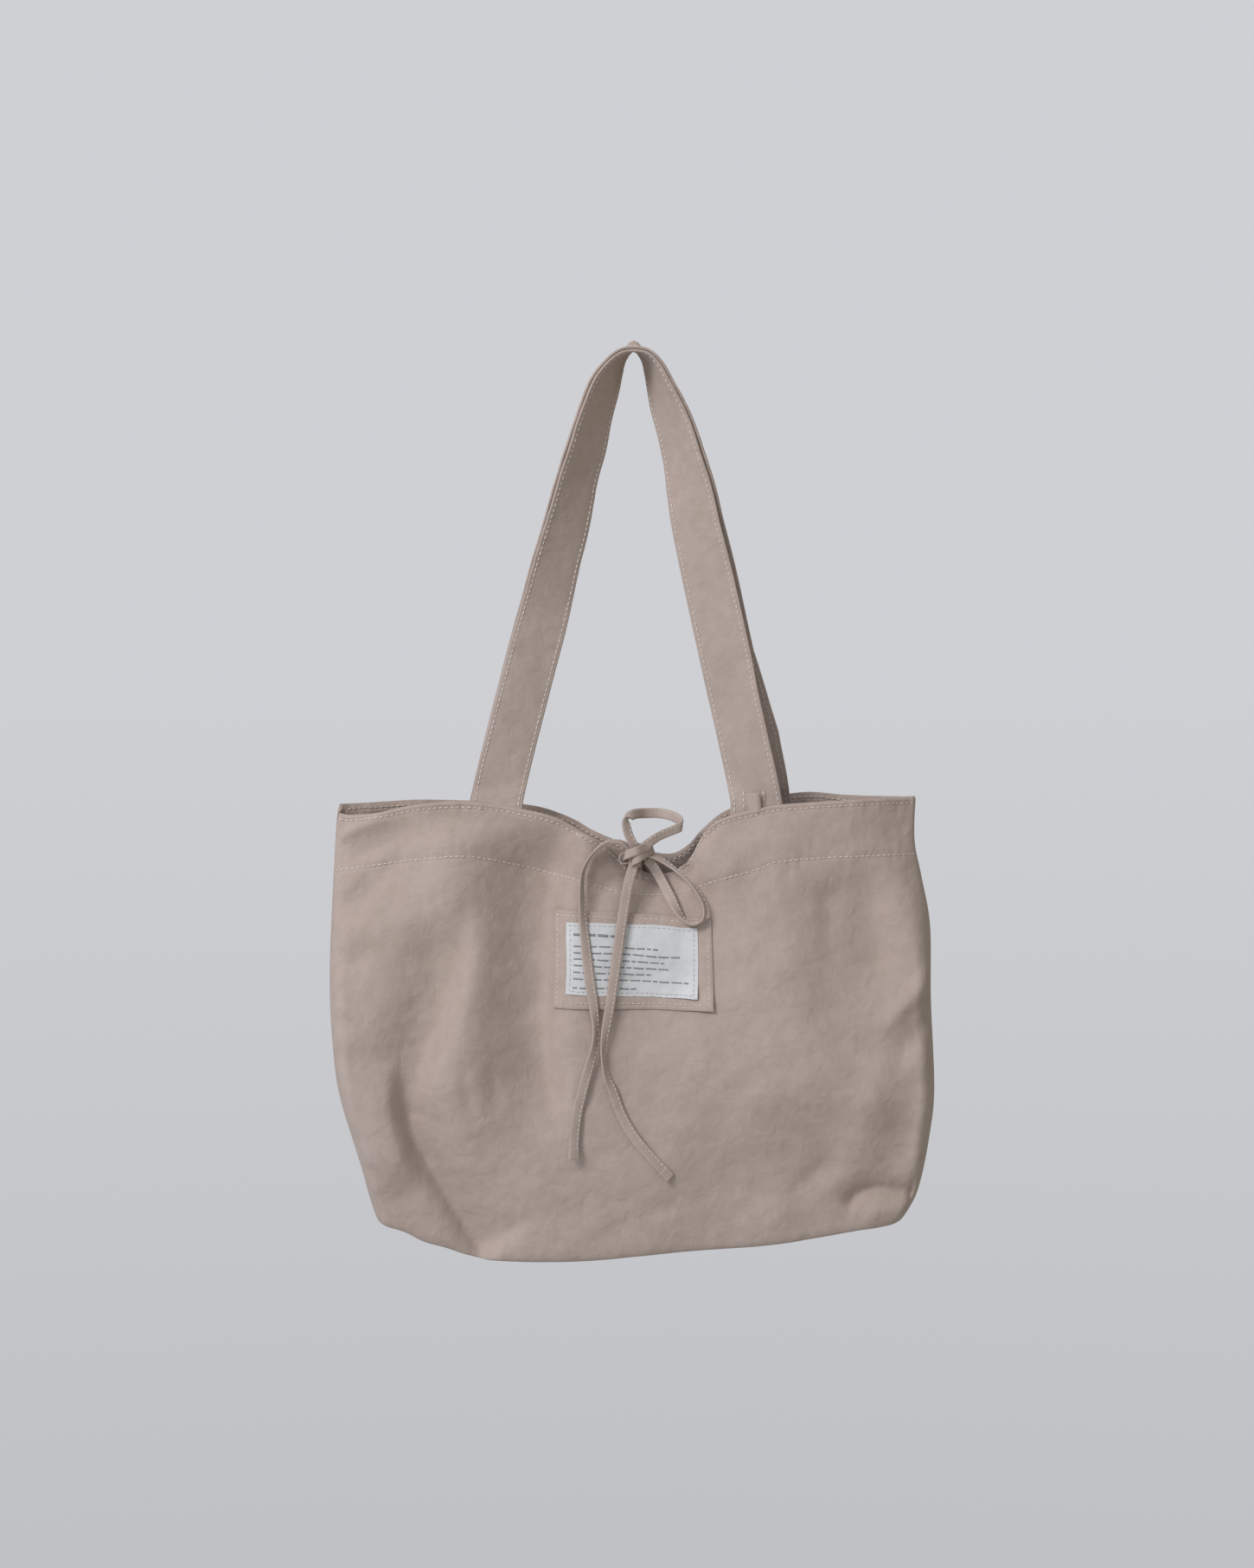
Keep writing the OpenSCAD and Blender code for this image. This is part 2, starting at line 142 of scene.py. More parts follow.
def gridFaces(rows, cols, start=0, flip=False):
    faces = []
    for r in range(rows - 1):
        for c in range(cols - 1):
            a = start + r * cols + c
            quad = [a, a + 1, a + cols + 1, a + cols]
            faces.append(quad[::-1] if flip else quad)
    return faces


def sheetPiece(name, outer, inner, material, side, uv):
    # One closed cloth from an outer and an inner grid of points.
    rows, cols = outer.shape[:2]
    n = rows * cols
    points = np.vstack([outer.reshape(-1, 3), inner.reshape(-1, 3)])
    facing = side == frontSide
    faces = gridFaces(rows, cols, 0, facing) + gridFaces(rows, cols, n, not facing)
    loop = [c for c in range(cols)] + [r * cols + cols - 1 for r in range(1, rows)]
    loop += [(rows - 1) * cols + c for c in range(cols - 2, -1, -1)] + [r * cols
        for r in range(rows - 2, 0, -1)]
    for a, b in zip(loop, loop[1:] + loop[:1]):
        quad = [a, n + a, n + b, b]
        faces.append(quad[::-1] if facing else quad)
    both = np.vstack([uv.reshape(-1, 2), uv.reshape(-1, 2)])
    return newPiece(name, points, faces, material, both)


def sweepPiece(name, rings, material, uv=None, caps=True):
    # A closed band from rings of points, all with the same number of corners.
    n, m = rings.shape[:2]
    faces = []
    for i in range(n - 1):
        for j in range(m):
            k = (j + 1) % m
            faces.append([i * m + j, i * m + k, (i + 1) * m + k, (i + 1) * m + j])
    if caps:
        faces.append(list(range(m))[::-1])
        faces.append([(n - 1) * m + j for j in range(m)])
    flat = None if uv is None else uv.reshape(-1, 2)
    return newPiece(name, rings.reshape(-1, 3), faces, material, flat)


# Materials.
def nodeTree(name):
    material = bpy.data.materials.new(name)
    material.use_nodes = True
    tree = material.node_tree
    tree.nodes.clear()
    return material, tree


def addNode(tree, kind, inputs=None, **settings):
    node = tree.nodes.new(kind)
    for key, value in settings.items():
        setattr(node, key, value)
    for key, value in (inputs or {}).items():
        if isinstance(value, bpy.types.NodeSocket):
            tree.links.new(value, node.inputs[key])
        else:
            node.inputs[key].default_value = value
    return node


canvasSet = {
    "light": (0.485, 0.379, 0.323, 1), "dark": (0.420, 0.322, 0.265, 1), "pale": (0.53, 0.428, 0.378, 1),
    "thread": 0.00055, "weave": 0.3, "slub": 0.18, "crinkle": 0.45, "sheen": 0.12, "rough": 0.92,
}
tapeSet = dict(canvasSet, light=(0.505, 0.395, 0.34, 1), thread=0.0005, weave=0.25, crinkle=0.15)
labelSet = {
    "light": (0.67, 0.65, 0.625, 1), "dark": (0.60, 0.58, 0.555, 1), "pale": (0.74, 0.72, 0.70, 1),
    "thread": 0.0004, "weave": 0.2, "slub": 0.1, "crinkle": 0.3, "sheen": 0.1, "rough": 0.6,
}
bindingSet = dict(canvasSet, light=(0.56, 0.46, 0.40, 1), thread=0.0009, weave=0.6)


def wovenCloth(name, s):
    # Plain weave on the UV map, which is in metres along and across the cloth.
    material, tree = nodeTree(name)
    out = addNode(tree, "ShaderNodeOutputMaterial")
    cloth = addNode(tree, "ShaderNodeUVMap", uv_map="UVMap")
    place = addNode(tree, "ShaderNodeTexCoord")
    split = addNode(tree, "ShaderNodeSeparateXYZ", {0: cloth.outputs["UV"]})
    # Slubs: long thin noise along each direction, which makes single threads thicker and paler.
    longWarp = addNode(tree, "ShaderNodeMapping",
        {"Vector": cloth.outputs["UV"], "Scale": (1 / s["thread"] * 0.5, 60, 1)})
    longWeft = addNode(tree, "ShaderNodeMapping",
        {"Vector": cloth.outputs["UV"], "Scale": (60, 1 / s["thread"] * 0.5, 1)})
    warpSlub = addNode(tree, "ShaderNodeTexNoise",
        {"Vector": longWarp.outputs[0], "Scale": 1.0, "Detail": 2.0})
    weftSlub = addNode(tree, "ShaderNodeTexNoise",
        {"Vector": longWeft.outputs[0], "Scale": 1.0, "Detail": 2.0})
    rate = math.pi / s["thread"]

    def thread(axis):
        turn = addNode(tree, "ShaderNodeMath", {0: split.outputs[axis], 1: rate}, operation="MULTIPLY")
        return addNode(tree, "ShaderNodeMath", {0: turn.outputs[0]}, operation="SINE").outputs[0]

    cross = addNode(tree, "ShaderNodeMath", {0: thread(0), 1: thread(1)}, operation="MULTIPLY")
    slub = addNode(tree, "ShaderNodeMath", {0: warpSlub.outputs[0], 1: weftSlub.outputs[0]}, operation="ADD")
    # Broad washed-out variation, blotches of a few millimetres, and fine fuzz.
    local = place.outputs["Object"]
    broad = addNode(tree, "ShaderNodeTexNoise", {"Vector": local, "Scale": 16.0, "Detail": 3.0})
    blotch = addNode(tree, "ShaderNodeTexNoise",
        {"Vector": local, "Scale": 130.0, "Detail": 4.0, "Roughness": 0.6})
    fuzz = addNode(tree, "ShaderNodeTexNoise", {"Vector": local, "Scale": 1100.0, "Detail": 2.0})
    faint = addNode(tree, "ShaderNodeMath", {0: slub.outputs[0], 1: s["slub"]}, operation="MULTIPLY")
    tone = addNode(tree, "ShaderNodeMath", {0: broad.outputs[0], 1: blotch.outputs[0]}, operation="ADD")
    tone2 = addNode(tree, "ShaderNodeMath", {0: tone.outputs[0], 1: faint.outputs[0]}, operation="ADD")
    middle = 1.0 + s["slub"]
    spread = addNode(tree, "ShaderNodeMapRange",
        {"Value": tone2.outputs[0], "From Min": middle - 0.35, "From Max": middle + 0.25})
    base = addNode(tree, "ShaderNodeMix", {0: spread.outputs[0], 6: s["dark"], 7: s["light"]},
        data_type="RGBA")
    flecks = addNode(tree, "ShaderNodeMapRange",
        {"Value": fuzz.outputs[0], "From Min": 0.5, "From Max": 0.8, "To Max": 0.4})
    colour = addNode(tree, "ShaderNodeMix", {0: flecks.outputs[0], 6: base.outputs[2], 7: s["pale"]},
        data_type="RGBA")
    height = addNode(tree, "ShaderNodeMath", {0: cross.outputs[0], 1: slub.outputs[0]}, operation="ADD")
    grain = addNode(tree, "ShaderNodeBump",
        {"Height": height.outputs[0], "Strength": s["weave"], "Distance": 0.00012})
    # Soft crinkles left by washing, a few millimetres across.
    crinkle = addNode(tree, "ShaderNodeTexNoise",
        {"Vector": local, "Scale": 105.0, "Detail": 3.0, "Distortion": 0.6})
    bump = addNode(tree, "ShaderNodeBump",
        {"Height": crinkle.outputs[0], "Strength": s["crinkle"], "Distance": 0.0022,
        "Normal": grain.outputs[0]})
    shade = addNode(tree, "ShaderNodeBsdfPrincipled",
        {"Base Color": colour.outputs[2], "Normal": bump.outputs[0],
        "Roughness": s["rough"], "Sheen Weight": s["sheen"], "Sheen Roughness": 0.45,
        "Specular IOR Level": 0.2})
    tree.links.new(shade.outputs[0], out.inputs[0])
    return material


def threadMaterial(name, colour):
    material, tree = nodeTree(name)
    out = addNode(tree, "ShaderNodeOutputMaterial")
    place = addNode(tree, "ShaderNodeTexCoord")
    ply = addNode(tree, "ShaderNodeTexNoise",
        {"Vector": place.outputs["Object"], "Scale": 900.0, "Detail": 2.0})
    dull = tuple(c * 0.72 for c in colour[:3]) + (1,)
    base = addNode(tree, "ShaderNodeMix", {0: ply.outputs[0], 6: dull, 7: colour}, data_type="RGBA")
    bump = addNode(tree, "ShaderNodeBump", {"Height": ply.outputs[0], "Strength": 0.4, "Distance": 0.0002})
    shade = addNode(tree, "ShaderNodeBsdfPrincipled",
        {"Base Color": base.outputs[2], "Normal": bump.outputs[0],
        "Roughness": 0.75, "Sheen Weight": 0.2})
    tree.links.new(shade.outputs[0], out.inputs[0])
    return material


canvas = wovenCloth("washed_canvas", canvasSet)
strapCanvas = wovenCloth("strap_canvas", dict(canvasSet, light=(0.495, 0.389, 0.335, 1), crinkle=0.3))
tapeCloth = wovenCloth("tie_tape_canvas", tapeSet)
labelCloth = wovenCloth("woven_label_satin", labelSet)
bindingCloth = wovenCloth("overlocked_binding", bindingSet)
creamThread = threadMaterial("cream_thread", (0.84, 0.73, 0.64, 1))
greyThread = threadMaterial("grey_thread", (0.36, 0.355, 0.365, 1))
print("materials made")

# Body shape.
# Distances in millimetres until a piece is made. Outlines run from the rim (0) to the base (1).
bodySet = {
    "leftEdge": [(0, 195), (0.07, 197), (0.3, 200), (0.47, 200), (0.63, 196.5), (0.71, 192.5), (0.8, 185.5),
    (0.88, 179), (0.95, 174), (1, 169.5)],
    "rightEdge": [(0, 186.5), (0.06, 185.5), (0.12, 186), (0.2, 190.5), (0.31, 195.5), (0.48, 195.5),
    (0.7, 197.5), (0.81, 194.5), (0.9, 190), (0.96, 185), (1, 178)],
    "frontRim": [(-196, -297), (-188, -298), (-180, -297.5), (-167, -296), (-142, -291), (-114, -289),
    (-90, -291), (-73, -294), (-52, -299),
        (-35, -308), (-17, -318), (-6, -329), (6, -335), (17, -337), (30, -333), (38, -323), (43, -313),
        (51, -304),
        (63, -298), (80, -294), (96, -291), (140, -288), (188, -286)],
    "backRim": [(-196, -291), (-188, -290.5), (-178, -290), (-136, -288), (-90, -290), (-63, -293),
    (-40, -301), (-26, -309), (0, -319),
        (23, -324), (36, -318), (45, -308), (62, -295), (90, -287), (116, -283), (144, -285), (188, -286)],
    "base": [(-171, -562), (-150, -567.5), (-136, -574), (-122, -578), (-108, -583), (-94, -586),
    (-60, -587), (-24, -586),
        (32, -581), (88, -576), (116, -572), (144, -567), (160, -564.5), (180, -560)],
    "mouthDepth": 18, "baseDepth": 41, "tuck": 9, "wall": 1.1, "cloth": 0.9, "baseSag": 3,
    "rimRoll": 2.3, "rimRollHeight": 5,
    "hemLine": [(-196, -335), (-161, -330), (-138, -327), (-114, -325), (-100, -326), (-77, -331),
    (-53, -337), (-35, -341),
        (-8, -349), (12, -351), (30, -349), (57, -340), (82, -333), (92, -329), (127, -326), (188, -324)],
    "pull": {frontSide: (9, 12, 34), backSide: (8, 14, 36)},
}
leftEdge, rightEdge = outline(bodySet["leftEdge"]), outline(bodySet["rightEdge"])
rimLine = {frontSide: outline(bodySet["frontRim"]), backSide: outline(bodySet["backRim"])}
baseLine = outline(bodySet["base"])
hemLine = outline(bodySet["hemLine"])

# Each fold: its line, how wide it is on its left and right, and how deep (a ridge is negative).
frontFolds = [
    {"line": [(-118, -298), (-117, -342), (-110, -386), (-107, -431), (-104, -467), (-98, -510)],
    "wide": (20, 30), "deep": -9, "ends": (0.1, 0.3)},
    {"line": [(-52, -300), (-56, -341), (-60, -386), (-62, -431), (-59, -467), (-49, -503), (-38, -527)],
    "wide": (34, 12), "deep": 17, "ends": (0.16, 0.3)},
    {"line": [(-112, -345), (-117, -391), (-125, -422), (-137, -454), (-146, -484), (-148, -515)],
    "wide": (24, 10), "deep": 13, "ends": (0.3, 0.4)},
    {"line": [(-147, -452), (-149, -474), (-147, -490), (-140, -512), (-125, -539), (-110, -564),
    (-94, -587)], "wide": (7, 20), "deep": 10.5, "ends": (0.3, 0.06), "sharp": True},
    {"line": [(-160, -448), (-159, -482), (-152, -514), (-138, -542)], "wide": (24, 7), "deep": -6,
    "ends": (0.35, 0.3)},
    {"line": [(-197, -338), (-178, -328), (-156, -315), (-134, -300)], "wide": (20, 12), "deep": 6.5,
    "ends": (0.3, 0.4)},
    {"line": [(-194, -313), (-178, -305), (-158, -298)], "wide": (5, 4), "deep": -2.6, "ends": (0.02, 0.4)},
    {"line": [(-197, -373), (-176, -354), (-154, -334), (-141, -320)], "wide": (18, 12), "deep": 6,
    "ends": (0.3, 0.45)},
    {"line": [(-196, -348), (-178, -334), (-158, -321), (-146, -312)], "wide": (8, 8), "deep": -2.4,
    "ends": (0.3, 0.4)},
    {"line": [(-199, -402), (-182, -391), (-166, -378)], "wide": (8, 11), "deep": 2.2, "ends": (0.35, 0.5)},
    {"line": [(-199, -440), (-184, -428), (-172, -412)], "wide": (9, 10), "deep": 1.6, "ends": (0.35, 0.5)},
    {"line": [(76, -298), (92, -342), (98, -400), (105, -452), (100, -512)], "wide": (34, 26), "deep": -6.5,
    "ends": (0.12, 0.35)},
    {"line": [(146, -322), (153, -345), (156, -386), (163, -424)], "wide": (30, 12), "deep": 6,
    "ends": (0.3, 0.3)},
    {"line": [(122, -338), (126, -370), (124, -400)], "wide": (7, 7), "deep": 1.4, "ends": (0.3, 0.4)},
    {"line": [(198, -398), (184, -411), (170, -425), (154, -443)], "wide": (7, 6), "deep": -3.6,
    "ends": (0.04, 0.4)},
    {"line": [(199, -424), (184, -437), (172, -452), (166, -466)], "wide": (9, 8), "deep": 3.6,
    "ends": (0.04, 0.4)},
    {"line": [(158, -448), (155, -470), (151, -498), (137, -525), (110, -548), (79, -561), (48, -568)],
    "wide": (12, 14), "deep": -3.2, "ends": (0.25, 0.3)},
    {"line": [(186, -450), (180, -476), (174, -507), (158, -536)], "wide": (13, 10), "deep": 2.0,
    "ends": (0.3, 0.25)},
    {"line": [(132, -505), (124, -524), (106, -544), (86, -558)], "wide": (8, 14), "deep": 2.8,
    "ends": (0.3, 0.4)},
    {"line": [(140, -556), (143, -545), (158, -540), (182, -543)], "wide": (4, 7), "deep": 5.5,
    "ends": (0.15, 0.05), "sharp": True},
    {"line": [(146, -558), (160, -554), (180, -552)], "wide": (6, 6), "deep": -3.4, "ends": (0.25, 0.1)},
    {"line": [(15, -334), (16, -345), (13, -362), (10, -376)], "wide": (15, 17), "deep": 6.5,
    "ends": (0.02, 0.6)},
    {"line": [(0, -380), (4, -430), (14, -480), (20, -530)], "wide": (44, 42), "deep": 4, "ends": (0.3, 0.4)},
    {"line": [(-10, -336), (-24, -352), (-33, -375)], "wide": (4, 6), "deep": 1.6, "ends": (0.1, 0.5)},
    {"line": [(32, -336), (46, -348), (54, -366)], "wide": (7, 9), "deep": 2.6, "ends": (0.1, 0.5)},
    {"line": [(44, -316), (58, -330), (68, -350)], "wide": (10, 12), "deep": -3.4, "ends": (0.1, 0.5)},
    {"line": [(-34, -309), (-30, -325), (-28, -345)], "wide": (8, 9), "deep": -3.2, "ends": (0.1, 0.5)},
    {"line": [(-112, -452), (-106, -480), (-104, -506)], "wide": (5, 5), "deep": 1.5, "ends": (0.3, 0.5)},
    {"line": [(-92, -455), (-90, -480), (-94, -500)], "wide": (5, 5), "deep": 1.3, "ends": (0.3, 0.5)},
    {"line": [(-60, -560), (-20, -548), (30, -552)], "wide": (9, 9), "deep": 1.8, "ends": (0.4, 0.4)},
    {"line": [(-30, -575), (0, -560), (24, -552), (44, -556)], "wide": (6, 6), "deep": 1.3,
    "ends": (0.3, 0.4)},
    {"line": [(-186, -505), (-176, -524), (-160, -540)], "wide": (5, 6), "deep": 2.6, "ends": (0.1, 0.4)},
]
backFolds = [
    {"line": [(-92, -298), (-100, -360), (-98, -440), (-88, -520)], "wide": (24, 24), "deep": -6,
    "ends": (0.12, 0.4)},
    {"line": [(88, -298), (98, -360), (96, -440), (90, -530)], "wide": (24, 26), "deep": -6,
    "ends": (0.12, 0.4)},
    {"line": [(0, -345), (-6, -420), (0, -510)], "wide": (42, 42), "deep": 5, "ends": (0.25, 0.4)},
    {"line": [(-142, -360), (-150, -430), (-146, -490), (-120, -560)], "wide": (16, 16), "deep": 5,
    "ends": (0.3, 0.2)},
    {"line": [(140, -350), (150, -430), (148, -500), (126, -556)], "wide": (16, 16), "deep": 5,
    "ends": (0.3, 0.2)},
    {"line": [(197, -398), (176, -380), (158, -350)], "wide": (8, 9), "deep": 3, "ends": (0.02, 0.4)},
    {"line": [(-197, -398), (-176, -380), (-158, -350)], "wide": (8, 9), "deep": 3, "ends": (0.02, 0.4)},
    {"line": [(-60, -566), (0, -550), (60, -560)], "wide": (10, 10), "deep": 2, "ends": (0.4, 0.4)},
]
foldsOf = {frontSide: frontFolds, backSide: backFolds}


def foldDepth(x, z, folds):
    # How far the folds push the cloth in at each point.
    total = np.zeros(np.shape(x))
    flat = np.column_stack([np.ravel(x), np.ravel(z)])
    for fold in folds:
        path = spline(fold["line"], 8)
        reach = 3.2 * max(fold["wide"]) + 2
        low, high = path.min(0) - reach, path.max(0) + reach
        near = np.where(((flat > low) & (flat < high)).all(1))[0]
        if not len(near):
            continue
        p = flat[near]
        best = np.full(len(near), 1e9)
        along = np.zeros(len(near))
        hand = np.ones(len(near))
        steps = np.linalg.norm(np.diff(path, axis=0), axis=1)
        gone = np.concatenate([[0], np.cumsum(steps)])
        for i in range(len(path) - 1):
            a, d = path[i], path[i + 1] - path[i]
            t = np.clip(((p - a) @ d) / (d @ d), 0, 1)
            off = p - (a + t[:, None] * d)
            gap = np.hypot(off[:, 0], off[:, 1])
            closer = gap < best
            best = np.where(closer, gap, best)
            along = np.where(closer, (gone[i] + t * steps[i]) / gone[-1], along)
            hand = np.where(closer, np.sign(d[0] * off[:, 1] - d[1] * off[:, 0]), hand)
        wide = np.where(hand < 0, fold["wide"][0], fold["wide"][1])
        if fold.get("sharp"):
            shape = np.exp(1 - np.sqrt(1 + (1.8 * best / wide) ** 2))
        else:
            shape = np.exp(-(best / wide) ** 2)
        fade = ease(along / fold["ends"][0]) * ease((1 - along) / fold["ends"][1])
        total.ravel()[near] += fold["deep"] * shape * fade
    return total


def halfAt(x, v):
    return np.where(x < 0, leftEdge(v), rightEdge(v))


def shareDown(x, z, side):
    rim = rimLine[side](x)
    return (rim - z) / (rim - baseLine(x))


def plainDepth(x, v):
    s = np.clip(np.abs(x) / halfAt(x, v), 0, 1)
    flat = mix(0.66, 0.93, ease(v / 0.4))
    turn = np.clip((s - flat) / (1 - flat), 0, 1)
    bulge = mix(1 - turn ** 2, np.sqrt(np.maximum(1 - turn ** 2, 0)), ease(v / 0.3))
    deep = mix(bodySet["mouthDepth"], bodySet["baseDepth"],
        ease(v / 0.7)) - bodySet["tuck"] * ease((v - 0.62) / 0.38)
    # Right at the side seam the two panels close up.
    wall = bodySet["wall"] * (1 - 0.84 * ease((s - 0.99) / 0.01))
    return wall + deep * bulge, s


def surfaceY(x, z, side, fine=True):
    # Y of the outside of a panel, folds and puckers included, above the base.
    x, z = np.asarray(x, float), np.asarray(z, float)
    v = np.clip(shareDown(x, z, side), 0, 1)
    depth, s = plainDepth(x, v)
    inset = foldDepth(x, z, foldsOf[side])
    below = rimLine[side](x) - z
    amount, middle, wide = bodySet["pull"][side]
    inset = inset + amount * np.exp(-((x - middle) / wide) ** 2) * (1 - ease(below / 24))
    if fine:
        inset = inset + 1.5 * wander(x, z, 46, 1 + side) + 0.55 * wander(x, z * 1.3, 17,
            3 + side) + 0.14 * wander(x, z, 6, 5 + side)
        # The stitched lines of the hem sink in a little and pucker the cloth beside them.
        for line, deep in ((below - 4.0, 0.35), (z - hemLine(x) if side == frontSide else below - 37, 0.55)):
            groove = np.exp(-(line / 1.3) ** 2)
            pucker = np.exp(-(np.abs(line) / 7)) * wander(x * 2.2, z * 0.6, 9, 8 + side)
            inset = inset + deep * groove + 0.42 * pucker
        inset = inset - 0.55 * np.exp(-((below - 1.6) / 1.5) ** 2)
    calm = ease((1 - s) / 0.035)
    return side * np.maximum(depth - inset * calm, 0.17)


def panelGrid(us, vs, side):
    u, v = np.meshgrid(us, vs)
    w, b = np.minimum(v, 1), np.maximum(v - 1, 0)
    s = np.sin(np.pi / 2 * u)
    x = s * np.where(s < 0, leftEdge(w), rightEdge(w))
    rim, base = rimLine[side](x), baseLine(x)
    z = mix(rim, base, w)
    y = surfaceY(x, z, side)
    x = x * (1 - 0.045 * b * np.abs(s) ** 8)
    under = side * mix(np.abs(y), 0.45, b)
    sag = bodySet["baseSag"] * np.sin(np.pi / 2 * np.clip(b, 0, 1)) + 0.8 * wander(x, under, 30, 11) * b
    return np.stack([x, np.where(b > 0, under, y), z - sag], -1)


def gridNormals(grid, side):
    dr = np.gradient(grid, axis=0)
    dc = np.gradient(grid, axis=1)
    n = unitRows(np.cross(dc, dr))
    lean = (n[..., 1] * side).mean()
    return n if lean > 0 else -n


def softenFold(grid, vs, rounds=7):
    # Rounds the crease where a panel turns under into the base.
    near = np.exp(-((vs - 1) / 0.04) ** 2)[:, None, None]
    for _ in range(rounds):
        mean = grid.copy()
        mean[1:-1] = (grid[:-2] + grid[2:]) / 2
        grid = grid + (mean - grid) * near * 0.8
    return grid


def clothLengths(grid):
    # Distances along the rows and columns, for the weave.
    across = np.linalg.norm(np.diff(grid, axis=1), axis=-1)
    down = np.linalg.norm(np.diff(grid, axis=0), axis=-1)
    a = np.concatenate([np.zeros((grid.shape[0], 1)), np.cumsum(across, 1)], 1)
    a = a - a[:, a.shape[1] // 2][:, None]
    d = np.concatenate([np.zeros((1, grid.shape[1])), np.cumsum(down, 0)], 0)
    return np.stack([a, d], -1) * mm


def makePanel(side, node):
    us = np.linspace(-1, 1, 231)
    vs = np.concatenate([np.linspace(0, 0.02, 7)[:-1], np.linspace(0.02, 1, 150), np.linspace(1, 2, 24)[1:]])
    grid = softenFold(panelGrid(us, vs, side), vs)
    normal = gridNormals(grid, side)
    below = (rimLine[side](grid[..., 0]) - grid[..., 2])
    roll = np.clip(1 - below / bodySet["rimRollHeight"], 0, 1)
    thick = bodySet["cloth"] + (bodySet["rimRoll"] - bodySet["cloth"]) * np.sqrt(roll)
    inner = grid - normal * thick[..., None]
    inner[..., 1] = side * np.maximum(side * inner[..., 1], 0.15)
    # The turned edge of the rim is round: the first rows draw in from both faces.
    for r, (share, drop) in enumerate(((0.5, 0.0), (0.28, 0.1), (0.12, 0.3), (0.04, 0.6))):
        a, b = grid[r].copy(), inner[r].copy()
        grid[r], inner[r] = mix(a, b, share * 0.96), mix(b, a, share * 0.96)
        grid[r, :, 2] -= drop * 0.4
        inner[r, :, 2] -= drop * 0.4
    piece = sheetPiece(node + "_cloth", grid * mm, inner * mm, canvas, side, clothLengths(grid))
    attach(piece, "bag")
    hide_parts(node)
    return piece


makePanel(frontSide, "front_panel")
makePanel(backSide, "back_panel")
print("panels made")


def offsetGrid(x, z, side, depth):
    # Points at a depth below the outside of a panel.
    y = surfaceY(x, z, side)
    grid = np.stack([x, y, z], -1)
    return grid - gridNormals(grid, side) * depth


def makeHem(side, node):
    us = np.linspace(-0.985, 0.985, 200)
    s = np.sin(np.pi / 2 * us)
    x = s * np.where(s < 0, leftEdge(0.05), rightEdge(0.05)) * 0.975
    tops = rimLine[side](x) - 4.4
    ends = (hemLine(x) if side == frontSide else rimLine[side](x) - 38) - 2
    rows = np.linspace(0, 1, 20)[:, None]
    z = mix(tops[None, :], ends[None, :], rows)
    xs = np.repeat(x[None, :], len(rows), 0)
    outer = offsetGrid(xs, z, side, bodySet["cloth"] + 0.08)
    inner = offsetGrid(xs, z, side, bodySet["cloth"] * 2 + 0.08)
    for g in (outer, inner):
        g[..., 1] = side * np.maximum(side * g[..., 1], 0.3)
    piece = sheetPiece(node + "_cloth", outer * mm, inner * mm, canvas, side, clothLengths(outer))
    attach(piece, "bag")
    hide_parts(node)
    return piece


makeHem(frontSide, "front_hem")
makeHem(backSide, "back_hem")
print("hems made")

# Seams inside.
seamSet = {"width": 9, "thick": 1.7, "inset": 5}


def bandPiece(name, line, across, thickness, material, node, wave=0.4):
    # A flat strip: line is its middle, across its half width, thickness its half thickness, as vectors.
    n = len(line)
    ripple = np.array([math.sin(i * 0.9) * wave * 0.5 for i in range(n)])[:, None]
    corners = []
    for a, b in ((-1, -1), (0, -1.15), (1, -1), (1.04, 0), (1, 1), (0, 1.15), (-1, 1), (-1.04, 0)):
        corners.append(line + across * a + thickness * (b + ripple * 0.5))
    rings = np.stack(corners, 1)
    lengths = np.concatenate([[0], np.cumsum(np.linalg.norm(np.diff(line, axis=0), axis=1))])
    uv = np.stack([np.repeat(lengths[:, None], 8, 1), np.repeat(np.arange(8)[None, :] * 2.0, n, 0)], -1) * mm
    piece = sweepPiece(name, rings * mm, material, uv)
    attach(piece, "bag")
    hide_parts(node)
    return piece


def makeSideSeam(hand, node):
    vs = np.linspace(0.012, 0.965, 90)
    edge = (leftEdge(vs) if hand < 0 else rightEdge(vs))
    x = hand * (edge - seamSet["inset"] - seamSet["width"] / 2)
    top, low = (-296, -559) if hand < 0 else (-288, -556)
    line = np.column_stack([x, np.zeros(len(vs)), mix(top, low, vs)])
    bandPiece(node + "_binding", line, np.array([seamSet["width"] / 2, 0, 0]),
        np.array([0, seamSet["thick"] / 2, 0]), bindingCloth, node)


def makeBottomSeam():
    x = np.linspace(-142, 142, 80)
    z = baseLine(x) - bodySet["baseSag"] + 2 + seamSet["width"] / 2
    line = np.column_stack([x, np.zeros(len(x)), z])
    bandPiece("bottom_seam_binding", line, np.array([0, 0, seamSet["width"] / 2]),
        np.array([0, seamSet["thick"] / 2, 0]), bindingCloth, "bottom_seam")


def makeCornerSeam(hand, node):
    y = np.linspace(-31, 31, 40)
    edge = leftEdge(1.0) if hand < 0 else rightEdge(1.0)
    x = np.full(len(y), hand * (edge - 11))
    z = np.full(len(y), float(baseLine(hand * (edge - 11))) + 6 + seamSet["width"] / 2)
    line = np.column_stack([x, y, z])
    bandPiece(node + "_binding", line, np.array([0, 0, seamSet["width"] / 2]),
        np.array([seamSet["thick"] / 2, 0, 0]), bindingCloth, node)


makeSideSeam(-1, "left_side_seam")
makeSideSeam(1, "right_side_seam")
makeBottomSeam()
makeCornerSeam(-1, "left_corner_seam")
makeCornerSeam(1, "right_corner_seam")
print("seams made")

